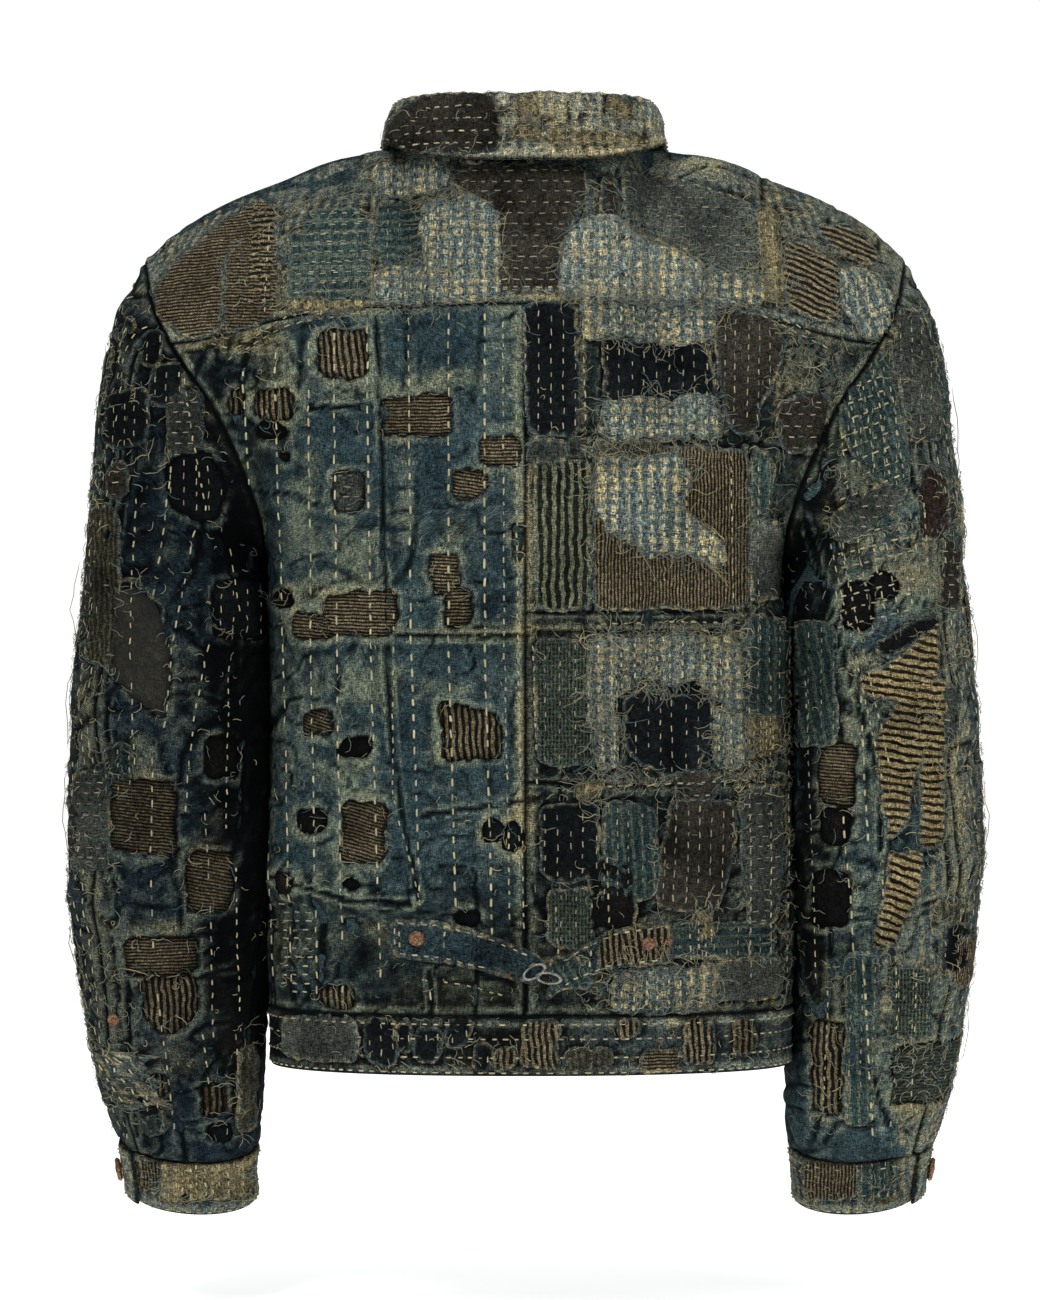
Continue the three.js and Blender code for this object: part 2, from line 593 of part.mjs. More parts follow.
// ---- Rivets and buttons ----
// A domed disc with a small boss in its middle.
function disc(radius, rise) {
  const outline = [[0, 0], [0.8, 0], [1, 0.4], [0.86, 0.85], [0.35, 0.7], [0.26, 1], [0, 1]];
  const sized = outline.map(([r, h]) => new THREE.Vector2(r * radius, h * rise));
  return new THREE.LatheGeometry(sized, 16).rotateX(Math.PI / 2);
}
const rivetRise = 2.4;
const rivetGap = 0.8;
const leftSleeve = piecesNamed("sleeve_left_top", "sleeve_left_under");
const rivets = {
  cinch_rivet_left: { on: strapPieces, at: [-72, -524.5], radius: 5.5 },
  cinch_rivet_right: { on: strapPieces, at: [81.5, -528.5], radius: 4.8 },
  cinch_rivet_small: { on: strapPieces, at: [95, -527], radius: 2.6 },
  sleeve_rivet_left: { on: leftSleeve, at: [-279, -584], radius: 4.6 },
};
for (const [name, rivet] of Object.entries(rivets))
  setDown(add(name, disc(rivet.radius, rivetRise), "copper"), outerFace(rivet.on, ...rivet.at), rivetGap);

const buttonRadius = 8.5;
const buttonRise = 4;
const buttonGap = 1.2;
const buttonHeights = [-78, -170, -262, -355, -448, -540];
const leftFront = piecesNamed("front_left");
buttonHeights.forEach((z, k) => {
  const button = add(`front_button_${k + 1}`, disc(buttonRadius, buttonRise), "copper");
  setDown(button, outerFace(leftFront, 3, z, false), buttonGap);
});
const bandButton = add("band_button", disc(buttonRadius, buttonRise), "copper");
setDown(bandButton, outerFace(piecesNamed("waistband"), 0, (bandTop + bandBottom) / 2, false), rivetGap);
const cuffButtonAngle = 16;
for (const side of [-1, 1]) {
  const name = sideName(side);
  const aim = cuffPoint(radians(cuffButtonAngle), 0.5, 60);
  const towards = cuffPoint(radians(cuffButtonAngle), 0.5, 0).sub(aim).normalize();
  [aim.x, towards.x] = [aim.x * side, towards.x * side];
  finder.set(aim, towards);
  const { point, face } = finder.intersectObjects(piecesNamed(`cuff_${name}`))[0];
  const button = add(`cuff_button_${name}`, disc(buttonRadius, buttonRise), "copper");
  setDown(button, { point, normal: face.normal.clone() }, rivetGap + 0.3);
}

// ---- The largest patches ----
// Each lies between two edges, as [x, z] seen from behind.
const backPatches = {
  yoke_stripe_left: { low: [[-205, -118], [-168, -106]], high: [[-205, -68], [-168, -54]] },
  yoke_teal: { low: [[-160, -97], [-95, -95]], high: [[-160, -56], [-95, -44]] },
  yoke_brown: { low: [[-20, -94], [32, -94]], high: [[-36, -24], [40, -24]] },
  yoke_charcoal: { low: [[68, -58], [160, -68]], high: [[68, -18], [160, -36]] },
  yoke_stripe_right: { low: [[174, -104], [216, -118]], high: [[176, -64], [222, -80]] },
  navy_strip: { low: [[4, -188], [34, -188]], high: [[4, -112], [34, -112]] },
  navy_block: { low: [[52, -184], [122, -184]], high: [[52, -130], [122, -130]], extraGap: 1.2 },
  brown_top: { low: [[128, -180], [152, -180]], high: [[128, -114], [164, -116]] },
  brown_stripe: { low: [[52, -300], [146, -300]], high: [[52, -212], [148, -212]], extraGap: 1.4 },
  stripe_column: { low: [[8, -300], [44, -300]], high: [[8, -212], [44, -212]] },
  check_column: { low: [[14, -402], [44, -402]], high: [[14, -326], [44, -326]] },
  navy_oval: { low: [[70, -412], [122, -412]], high: [[66, -360], [126, -354]] },
  navy_low: { low: [[16, -478], [50, -478]], high: [[16, -438], [50, -438]] },
  brown_low: { low: [[72, -500], [118, -500]], high: [[90, -432], [134, -440]], extraGap: 0.8 },
};
for (const [name, { low, high, extraGap = 0 }] of Object.entries(backPatches))
  add(`patch_${name}`, laidPiece(backPieces, low, high, patchWall, patchGap + extraGap, [4, 4]), "patch");

const sleeveExtraGap = 1.2; // the sleeves are rounder than the back
const sleevePatches = {
  left: {
    left_navy: { low: [[-290, -206], [-262, -206]], high: [[-284, -168], [-255, -168]] },
    left_band: { low: [[-306, -486], [-284, -486]], high: [[-306, -430], [-284, -430]] },
  },
  right: {
    right_charcoal: { low: [[262, -190], [286, -190]], high: [[256, -118], [276, -118]] },
    right_stripe: { low: [[238, -420], [268, -420]], high: [[240, -352], [276, -345]] },
  },
};
for (const [side, patches] of Object.entries(sleevePatches)) {
  const pieces = piecesNamed(`sleeve_${side}_top`, `sleeve_${side}_under`);
  for (const [name, { low, high }] of Object.entries(patches))
    add(`patch_${name}`, laidPiece(pieces, low, high, patchWall, patchGap + sleeveExtraGap, [4, 4]), "patch");
}

export default jacket;
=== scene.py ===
# A patched boro denim jacket, hollow and filled out as worn, seen from behind.
# Lengths are in millimetres until a mesh is made. +Z is up and the back faces -Y.
import math
import bpy
import numpy as np
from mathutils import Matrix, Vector
from mathutils.bvhtree import BVHTree
from mathutils.geometry import delaunay_2d_cdt


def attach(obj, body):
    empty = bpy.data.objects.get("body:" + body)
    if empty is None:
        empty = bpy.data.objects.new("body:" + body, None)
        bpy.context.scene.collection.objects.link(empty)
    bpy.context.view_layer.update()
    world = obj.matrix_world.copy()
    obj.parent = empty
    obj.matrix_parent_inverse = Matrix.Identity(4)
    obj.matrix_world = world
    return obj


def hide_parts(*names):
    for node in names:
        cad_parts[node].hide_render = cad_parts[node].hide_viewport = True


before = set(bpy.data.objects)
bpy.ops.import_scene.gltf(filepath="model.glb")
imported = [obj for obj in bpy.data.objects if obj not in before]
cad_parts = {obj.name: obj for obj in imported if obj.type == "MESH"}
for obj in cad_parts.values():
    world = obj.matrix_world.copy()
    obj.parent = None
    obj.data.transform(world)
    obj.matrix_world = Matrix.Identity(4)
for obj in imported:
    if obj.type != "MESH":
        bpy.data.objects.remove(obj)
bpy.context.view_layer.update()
bpy.ops.object.select_all(action="DESELECT")
rng = np.random.default_rng(41)
print("stage 1: frame loaded")


# Small helpers for curves and noise.
def ease(value, start, end):
    t = np.clip((np.asarray(value, float) - start) / (end - start), 0, 1)
    return t * t * (3 - 2 * t)


def profile(table, at):  # a smooth value from [position, value] rows
    xs, ys = np.array(table, float).T
    at = np.clip(at, xs[0], xs[-1])
    k = np.clip(np.searchsorted(xs, at, side="right") - 1, 0, len(xs) - 2)
    slopes = np.empty(len(xs))
    slopes[1:-1] = (ys[2:] - ys[:-2]) / (xs[2:] - xs[:-2])
    slopes[0] = (ys[1] - ys[0]) / (xs[1] - xs[0])
    slopes[-1] = (ys[-1] - ys[-2]) / (xs[-1] - xs[-2])
    span = xs[k + 1] - xs[k]
    t = (at - xs[k]) / span
    bend = (t - 1) ** 2 * t * slopes[k] + (t - 1) * t * t * slopes[k + 1]
    return ys[k] + (ys[k + 1] - ys[k]) * (3 - 2 * t) * t * t + span * bend


def throughPoints(points, t):  # an open line through points, which may be whole rows of them
    p = np.array(points, float)
    last = len(p) - 1
    p = np.concatenate([[2 * p[0] - p[1]], p, [2 * p[-1] - p[-2]]])
    place = np.clip(t, 0, 1) * last
    k = np.minimum(place.astype(int), last - 1)
    w = (place - k).reshape((-1,) + (1,) * (p.ndim - 1))
    a, b, c, d = p[k], p[k + 1], p[k + 2], p[k + 3]
    gap = lambda m, n: np.maximum(((m - n) ** 2).sum(-1, keepdims=True) ** 0.25, 1e-4)
    g0, g1, g2 = gap(a, b), gap(b, c), gap(c, d)
    m1 = ((b - a) / g0 - (c - a) / (g0 + g1) + (c - b) / g1) * g1
    m2 = ((c - b) / g1 - (d - b) / (g1 + g2) + (d - c) / g2) * g1
    return b + w * m1 + w**2 * (3 * (c - b) - 2 * m1 - m2) + w**3 * (2 * (b - c) + m1 + m2)


def arcOf(line):  # the length run at each point
    return np.concatenate([[0], np.cumsum(np.linalg.norm(np.diff(line, axis=0), axis=1))])


def lineThrough(points):  # the same line, read by its share of the length
    dense = throughPoints(points, np.linspace(0, 1, 900))
    arc = arcOf(dense)
    return lambda share: np.stack(
        [np.interp(np.clip(share, 0, 1), arc / arc[-1], dense[:, k]) for k in range(dense.shape[1])], -1
    )


def softNoise(p, size, seed=0):  # smooth noise from 0 to 1 in two or three dimensions
    q = np.asarray(p, float) / size + 31.7 + seed * 7.31
    cell = np.floor(q).astype(np.int64)
    f = q - cell
    f = f * f * (3 - 2 * f)
    total = np.zeros(q.shape[:-1])
    for corner in range(2 ** q.shape[-1]):
        step = np.array([corner >> k & 1 for k in range(q.shape[-1])])
        c = cell + step
        h = c[..., 0] * 73856093
        for k in range(1, q.shape[-1]):
            h = h ^ (c[..., k] * (19349663, 83492791)[k - 1])
        h = (h ^ (h >> 13)) * 1274126177
        total += ((h >> 7) & 0xFFFF) / 65535 * np.prod(np.where(step, f, 1 - f), axis=-1)
    return total


# The body's form: a level ring below the arms, and a sheet between four edges above them.
body = {
    "centre": 4, "squareness": 2.4, "underarm": -272, "reach": 2,
    "bandTop": -577, "yoke": -102, "yokeDrop": 23, "overlap": 15, "hang": 8,
    "pleat": {-1: 3.4, 1: 1.2}, "neckColumn": 0.4, "pleatColumn": 0.474,
    "halfWidth": [[-617, 175], [-577, 177], [-548, 180], [-500, 180], [-400, 178], [-272, 178]],
    "backDepth": [[-617, 113], [-577, 116], [-552, 118], [-527, 115], [-488, 124], [-400, 120], [-272, 121]],
    "frontDepth": [[-617, 116], [-577, 119], [-540, 126], [-450, 125], [-350, 123], [-272, 122]],
    "pleatRun": [[-617, 0.35], [-500, 0.37], [-400, 0.41], [-300, 0.435], [-102, 0.474]],
    "folds": [  # from, to, reach, height
        ((-178, -486), (-70, -500), 13, 6), ((-178, -512), (-80, -516), 12, -4),
        ((60, -480), (180, -470), 20, 4), ((-170, -262), (-120, -400), 20, 5),
        ((172, -262), (140, -380), 18, 4), ((-100, -300), (-60, -420), 22, 3),
        ((-124, -239), (-104, -272), 2.6, 1.8), ((-68, -245), (-95, -265), 2.4, 1.5),
        ((-95, -265), (-122, -286), 2.4, 1.3), ((-103, -403), (-63, -417), 3, 2),
        ((-63, -417), (-25, -437), 3, 2.2), ((-25, -437), (-3, -445), 3, 1.6),
        ((-144, -171), (-103, -171), 1.8, -1), ((-91, -324), (4, -324), 2, -1.2),
        ((-65, -443), (10, -432), 2.2, 1.3), ((35, -321), (146, -319), 5, 1.8),
        ((147, -194), (147, -498), 3.5, 1.6), ((44, -423), (176, -421), 6, 1.6),
        ((-150, -540), (-112, -498), 7, 2.5), ((-172, -440), (-150, -500), 9, 3),
        ((52, -120), (52, -300), 2.5, 1), ((-92, -310), (-92, -440), 5, 1.4),
    ],
}
underarm, tip, neckPoint = [178, 4, -272], [264, 9, -64], [82, 5, 15]
shoulderLine = lineThrough(
    [neckPoint, [134, 7, 6], [168, 8, -7.5], [203, 9, -21], [229, 9, -35], [248, 9, -49], tip])
neckLine = {
    True: lineThrough([[0, -62, 3], [42, -55, 6], [72, -30, 12], neckPoint]),
    False: lineThrough([[0, 84, -50], [28, 79, -43], [58, 62, -20], [78, 34, 6], neckPoint]),
}
armholeLine = {
    True: lineThrough([underarm, [179, -60, -248], [189, -80, -216], [200, -84, -190],
                       [213, -82, -165], [233, -68, -137], [252, -42, -103], tip]),
    False: lineThrough([underarm, [180, 55, -255], [192, 82, -222], [206, 88, -190],
                        [226, 82, -152], [245, 66, -122], [258, 38, -92], tip]),
}
centreLine = {
    True: lineThrough([[0, -117, -272], [0, -122, -190], [0, -113, -110], [0, -90, -45], [0, -62, 3]]),
    False: lineThrough([[0, 126, -272], [0, 124, -200], [0, 108, -110], [0, 84, -50]]),
}


def ringPoint(angle, z):
    depth = np.where(np.cos(angle) > 0, profile(body["backDepth"], z), profile(body["frontDepth"], z))
    power = body["squareness"]
    across = np.abs(np.sin(angle)) / profile(body["halfWidth"], z)
    along = np.abs(np.cos(angle)) / depth
    reach = (across**power + along**power) ** (-1 / power)
    return np.stack([reach * np.sin(angle), body["centre"] - reach * np.cos(angle), z + 0 * angle], -1)


def upperSheet(isBack, s, t):
    s, t = np.broadcast_arrays(np.asarray(s, float), np.asarray(t, float))
    bottom = lambda u: ringPoint(np.radians(90 * u if isBack else 180 - 90 * u), body["underarm"] + 0 * u)
    split = body["neckColumn"]

    def top(u):
        neck = neckLine[isBack](u / split)
        return np.where((u < split)[..., None], neck, shoulderLine((u - split) / (1 - split)))

    side, up = (s ** body["reach"])[..., None], t[..., None]
    zero, one = np.zeros_like(s), np.ones_like(s)
    point = bottom(s) * (1 - up) + top(s) * up + centreLine[isBack](t) * (1 - side)
    point = point + armholeLine[isBack](t) * side
    point = point - bottom(zero) * (1 - side) * (1 - up) - bottom(one) * side * (1 - up)
    return point - top(zero) * (1 - side) * up - top(one) * side * up


def shareAtHeight(isBack, s, z):
    low, high = np.zeros_like(s), np.ones_like(s)
    for _ in range(26):
        middle = (low + high) / 2
        under = upperSheet(isBack, s, middle)[..., 2] < z
        low, high = np.where(under, middle, low), np.where(under, high, middle)
    return (low + high) / 2


def bodyPoint(isBack, s, z):
    z = np.asarray(z, float) + 0 * s
    ring = ringPoint(np.radians(90 * s if isBack else 180 - 90 * s), np.minimum(z, body["underarm"]))
    sheet = upperSheet(isBack, s, shareAtHeight(isBack, s, np.maximum(z, body["underarm"])))
    return np.where((z <= body["underarm"])[..., None], ring, sheet)


def yokeSeam(s):
    return body["yoke"] - body["yokeDrop"] * ease(s, 0.5, 1)


def columnAtHeight(s, z):
    edge, run = body["pleatColumn"], profile(body["pleatRun"], z)
    return np.where(s < edge, s * run / edge, 1 - (1 - s) * (1 - run) / (1 - edge))


def foldHeight(folds, x, z):
    total = 0 * x
    for (x0, z0), (x1, z1), reach, height in folds:
        run = np.array([x1 - x0, z1 - z0], float)
        along = np.clip(((x - x0) * run[0] + (z - z0) * run[1]) / (run @ run), 0, 1)
        away = np.hypot(x - x0 - along * run[0], z - z0 - along * run[1])
        total = total + height * np.exp(-((away / reach) ** 2))
    return total


# Grids of points. A panel is a dense outer grid, a coarser inner one and a closed rim.
def unit(v):
    return v / np.maximum(np.linalg.norm(v, axis=-1, keepdims=True), 1e-9)


def gridNormals(p):
    return unit(np.cross(np.gradient(p, axis=0), np.gradient(p, axis=1)))


def edgeDistances(p):  # from each point to the grid's four edges
    stepU, stepV = (np.linalg.norm(np.diff(p, axis=k), axis=2) for k in (0, 1))
    du = np.concatenate([np.zeros((1, p.shape[1])), np.cumsum(stepU, 0)])
    dv = np.concatenate([np.zeros((p.shape[0], 1)), np.cumsum(stepV, 1)], 1)
    return du, du[-1:] - du, dv, dv[:, -1:] - dv


def flat(p):
    return p.reshape(-1, p.shape[-1])


def quadsOf(grid):
    return np.stack([grid[:-1, :-1], grid[1:, :-1], grid[1:, 1:], grid[:-1, 1:]], -1).reshape(-1, 4)


def outwards(p, way):  # a grid's normals, turned to +Y or -Y as a whole
    n = gridNormals(p)
    return n * np.sign(way * np.sum(n[..., 1]))


panels = {}  # name: points, normals, uv, wear, tree, inner and the panel's settings


def facing(n, view):  # 1 where the cloth faces the view, 0 where it turns away
    axis = {"back": -n[..., 1], "front": n[..., 1], "left": -n[..., 0], "right": n[..., 0]}[view]
    return ease(axis, 0.1, 0.6)


def viewPlane(p, view):
    return (p[..., 0], p[..., 2]) if view in ("back", "front") else (p[..., 1], p[..., 2])


# Rags, by the group that carries them: the surface and the view they are laid from, then for each its kind,
# its outline as a box or as points seen from that view, the turn of its pattern in degrees, and how it is
# sewn: on the cloth unless it says under (beneath a hole) or over (a loose web on other rags).
under, over = "under", "over"
rags = {
    "backLeft": ("body", "back", [("ticking", (-137, -149, -105, -117), 8, under),
        ("ticking", (-181, -180, -156, -160), 4, under), ("ticking", (-199, -178, -189, -160), 4, under),
        ("shadow", (-179, -192, -160, -180), 0, under), ("brownStripe", (-94, -190, -50, -165), 90, under),
        ("shadow", (-165, -208, -157, -199), 0, under), ("charcoal", (-129, -242, -109, -213), 0, under),
        ("brownStripe", (-28, -211, -4, -192), 90, under),
        ("brownStripe", (-48, -231, -25, -213), 80, under),
        ("brownStripe", (-63, -296, -43, -268), 86, under),
        ("brownStripe", (-55, -318, -36, -292), 92, under), ("plaid", (-9, -274, -1, -249), 0, under),
        ("brownStripe", (-136, -323, -84, -296), 88, under),
        ("brownStripe", (-156, -326, -128, -308), 84, under),
        ("shadow", (-171, -304, -156, -292), 0, under),
        ("brownStripe", (-150, -392, -129, -374), 70, under),
        ("shadow", (-125, -404, -104, -392), 20, under), ("ticking", (-57, -407, -18, -371), 3, under),
        ("brownStripe", (-124, -475, -93, -435), 75, under),
        ("shadow", (-153, -454, -133, -439), 0, under), ("shadow", (-123, -493, -112, -485), 0, under),
        ("navy", (-28, -461, -14, -445), 0, under), ("navy", (-15, -466, -1, -447), 0, under),
        ("navy", (-47, -517, -30, -507), 0, under), ("ticking", (-139, -573, -115, -560), 2, under),
        ("brownPlain", (-170, -498, -158, -482), 0, under)]),
    "backRight": ("body", "back", [("fray", [(38, -99), (128, -99), (128, -124), (100, -128), (66, -122),
        (40, -126)]), ("fray", [(49, -170), (70, -164), (92, -168), (110, -164), (128, -166), (131, -188),
        (88, -192), (50, -191)]), ("greyTan", (44, -208, 93, -194)), ("shadow", (90, -197, 128, -191)),
        ("grey", (2, -208, 28, -193)), ("brownPlain", [(168, -172), (190, -158), (205, -162), (200, -196),
        (172, -201)], 60), ("teal", (152, -246, 166, -200)), ("grey", [(149, -248), (173, -247),
        (175, -275), (173, -298), (153, -300), (149, -270)]), ("fray", [(45, -206), (100, -203),
        (110, -214), (106, -236), (112, -246), (124, -254), (134, -268), (128, -276), (112, -268),
        (96, -264), (84, -272), (72, -262), (56, -256), (46, -240)], 0, over), ("fray", [(44, -324),
        (143, -324), (144, -374), (129, -364), (116, -350), (98, -356), (82, -350), (66, -356), (57, -378),
        (44, -386)]), ("navy", (51, -413, 62, -381), 0, under), ("navy", (96, -363, 117, -353), 0, under),
        ("teal", (146, -376, 181, -312)), ("tanFray", (148, -404, 173, -378)),
        ("brownPlain", (100, -431, 128, -414), 90), ("tanFray", (34, -431, 52, -421)),
        ("teal", (51, -500, 86, -436), 4), ("fray", (48, -412, 62, -376)),
        ("fray", (128, -412, 147, -372)), ("charcoal", [(144, -428), (172, -426), (174, -470), (170, -516),
        (150, -518), (146, -470)]), ("shadow", (42, -520, 73, -474)), ("teal", (97, -541, 168, -516), 90),
        ("tanFray", (112, -540, 124, -506)), ("fray", [(58, -548), (128, -546), (126, -572), (60, -573)]),
        ("grey", (128, -566, 172, -542)), ("check", (16, -530, 46, -492))]),
    "yoke": ("body", "back", [("brownStripe", [(-250, -106), (-252, -84), (-236, -64), (-212, -42),
        (-190, -28), (-178, -22), (-178, -50), (-206, -64), (-206, -118), (-226, -124)], 94),
        ("ticking", (-190, -100, -171, -26), 90), ("teal", [(-101, -27), (-62, -30), (-58, -46),
        (-66, -60), (-62, -74), (-98, -72), (-101, -45)], 90), ("fray", [(-68, -30), (-30, -28),
        (-20, -40), (-18, -98), (-68, -100)]), ("paleFray", [(24, -64), (34, -48), (60, -38), (80, -56),
        (120, -70), (120, -98), (22, -98)]), ("fray", [(-97, -74), (-68, -76), (-66, -100), (-104, -101),
        (-104, -78)]), ("brownPlain", (51, -42, 62, -12)), ("tanFray", (160, -97, 172, -32)),
        ("ticking", [(200, -42), (222, -40), (246, -60), (238, -70), (210, -56)], 70),
        ("fray", [(216, -72), (240, -74), (250, -98), (243, -124), (228, -120), (214, -96)], 20),
        ("plaid", (-150, -100, -106, -34)), ("fray", (-104, -24, -54, 2)), ("fray", (120, -100, 160, -78)),
        ("tanFray", (-160, -104, -110, -96)), ("navy", (-44, -4, 4, 1), 90)]),
    "collar": ("collar", "back", [("brownPlain", [(-98, 4), (-20, 2), (-17, 24), (-22, 45), (-70, 45),
        (-92, 30)], 90), ("charcoal", [(64, 36), (78, 38), (74, 42), (62, 42)]),
        ("tanFray", (-6, 24, 6, 41)), ("tanFray", (-9, 9, 10, 21)), ("tanFray", (58, 26, 70, 41)),
        ("tanFray", (16, 8, 84, 14))]),
    "band": ("band", "back", [("navy", (-105, -611, -88, -579)), ("navy", (-85, -600, -75, -580)),
        ("navy", (-73, -608, -56, -585)), ("navy", (-53, -596, -38, -579)),
        ("navy", (-34, -613, -22, -594)), ("ticking", (-20, -613, -8, -598)),
        ("ticking", (-2, -611, 21, -580), 4), ("ticking", (61, -592, 76, -579), 4),
        ("ticking", (106, -611, 127, -580), 3), ("ticking", (141, -606, 154, -581), 3),
        ("greyTan", (26, -613, 58, -598)), ("brownStripe", (78, -614, 103, -600), 90),
        ("grey", (-165, -610, -112, -580))]),
    "leftSleeve": ("leftSleeve", "back", [("navy", (-273, -118, -265, -106)),
        ("navy", (-261, -141, -246, -117)), ("navy", (-253, -168, -232, -141)),
        ("charcoal", (-240, -202, -219, -160)), ("navy", [(-241, -208), (-226, -198), (-210, -200),
        (-202, -222), (-206, -246), (-224, -247), (-240, -232)], 0, under), ("knit", [(-300, -236),
        (-284, -232), (-274, -244), (-273, -300), (-280, -343), (-297, -340), (-301, -290)]),
        ("sheen", [(-276, -294), (-262, -290), (-246, -306), (-240, -332), (-238, -352), (-243, -380),
        (-256, -368), (-268, -358), (-278, -352), (-279, -330)], 0, under),
        ("shadow", (-274, -294, -257, -285)), ("navy", (-211, -325, -180, -283), 0, under),
        ("teal", (-283, -431, -265, -396)), ("brownStripe", (-280, -470, -237, -422), 84, under),
        ("brownStripe", (-229, -511, -200, -471), 78, under),
        ("brownStripe", (-270, -553, -221, -527), 92, under), ("ticking", [(-261, -553), (-222, -553),
        (-224, -582), (-238, -595), (-254, -590)], 3, under),
        ("ticking", (-256, -638, -244, -621), 0, under), ("ticking", (-221, -653, -205, -628), 0, under),
        ("navy", (-268, -652, -248, -632)), ("teal", (-260, -665, -246, -650)),
        ("navy", (-218, -670, -201, -657), 0, under), ("greyTan", (-196, -666, -186, -604)),
        ("shadow", (-214, -420, -192, -392), 0, under), ("brownPlain", (-282, -230, -268, -206))]),
    "rightSleeve": ("rightSleeve", "back", [("teal", [(216, -146), (236, -118), (248, -150), (258, -200),
        (256, -226), (228, -214), (212, -186)], 20), ("charcoal", [(208, -243), (246, -218), (257, -222),
        (252, -236), (222, -258), (208, -258)], 30), ("redBrown", (266, -256, 286, -210)),
        ("shadow", (213, -318, 234, -288), 20, under), ("shadow", (232, -300, 249, -282), 20, under),
        ("shadow", [(233, -330), (276, -309), (278, -318), (240, -338)], 60), ("boldStripe", [(223, -352),
        (254, -336), (279, -312), (277, -344), (274, -380), (263, -415), (256, -451), (244, -464),
        (241, -437), (235, -394), (250, -368), (228, -364)], 80),
        ("brownStripe", (200, -440, 223, -399), 86, under), ("shadow", (198, -464, 220, -441), 0, under),
        ("teal", (184, -398, 207, -314), 10), ("brownPlain", (280, -306, 296, -260)),
        ("charcoal", (280, -396, 291, -357)), ("boldStripe", [(246, -470), (268, -470), (262, -500),
        (246, -534), (234, -534), (240, -500)], 70), ("navy", (283, -551, 303, -520)),
        ("check", (246, -596, 273, -547)), ("ticking", (197, -650, 216, -585), 2, under),
        ("teal", (218, -656, 236, -538), 3), ("shadow", (197, -521, 219, -480), 0, under),
        ("greyTan", (274, -516, 296, -500))]),
    "leftCuff": ("leftCuff", "back", [("tanFray", (-250, -712, -192, -676)),
        ("brownStripe", (-264, -706, -252, -682)), ("navy", (-240, -710, -228, -700))]),
    "rightCuff": ("rightCuff", "back", [("brownStripe", (194, -710, 226, -684)),
        ("teal", (228, -711, 256, -680)), ("tanFray", (240, -712, 256, -703))]),
    "leftOuter": ("leftSleeve", "left", []),
    "rightOuter": ("rightSleeve", "right", []),
    "leftFront": ("front", "front", [("brownStripe", (-150, -240, -96, -196), 90, under),
        ("ticking", (-92, -160, -56, -108)), ("navy", (-150, -372, -102, -322)),
        ("fray", (-84, -300, -40, -236)), ("ticking", (-66, -430, -34, -392), 4, under),
        ("charcoal", (-132, -452, -106, -420), 0, under), ("brownPlain", (-160, -540, -118, -480)),
        ("teal", (-88, -556, -44, -496)), ("brownStripe", (-212, -126, -168, -76), 88)]),
    "rightFront": ("front", "front", [("fray", (40, -170, 120, -96)), ("navy", (52, -262, 112, -206)),
        ("brownStripe", (118, -330, 158, -286), 90, under), ("ticking", (44, -388, 84, -312), 3),
        ("charcoal", (112, -440, 158, -376)), ("check", (46, -500, 86, -430)),
        ("brownPlain", (120, -520, 150, -484), 0, under), ("teal", (158, -240, 178, -190)),
        ("tanFray", (60, -560, 128, -528))]),
}
kindsForArms = ["navy", "brownStripe", "ticking", "charcoal", "teal", "fray", "brownPlain", "check", "grey"]
for side in ("leftOuter", "rightOuter"):  # the arms' outer sides, laid at random but even
    for k in range(13):
        z = -150 - 40 * k + rng.uniform(-10, 10)
        y = -8 + (26 if k % 2 else -22) + rng.uniform(-9, 9)
        half = rng.uniform(11, 24, 2)
        kind = kindsForArms[int(rng.integers(len(kindsForArms)))]
        how = "under" if rng.random() < 0.35 and kind != "fray" else "on"
        box = tuple(round(v) for v in (y - half[0], z - half[1], y + half[0], z + half[1]))
        rags[side][2].append((kind, box, int(rng.choice([0, 90, 4, 84])), how))

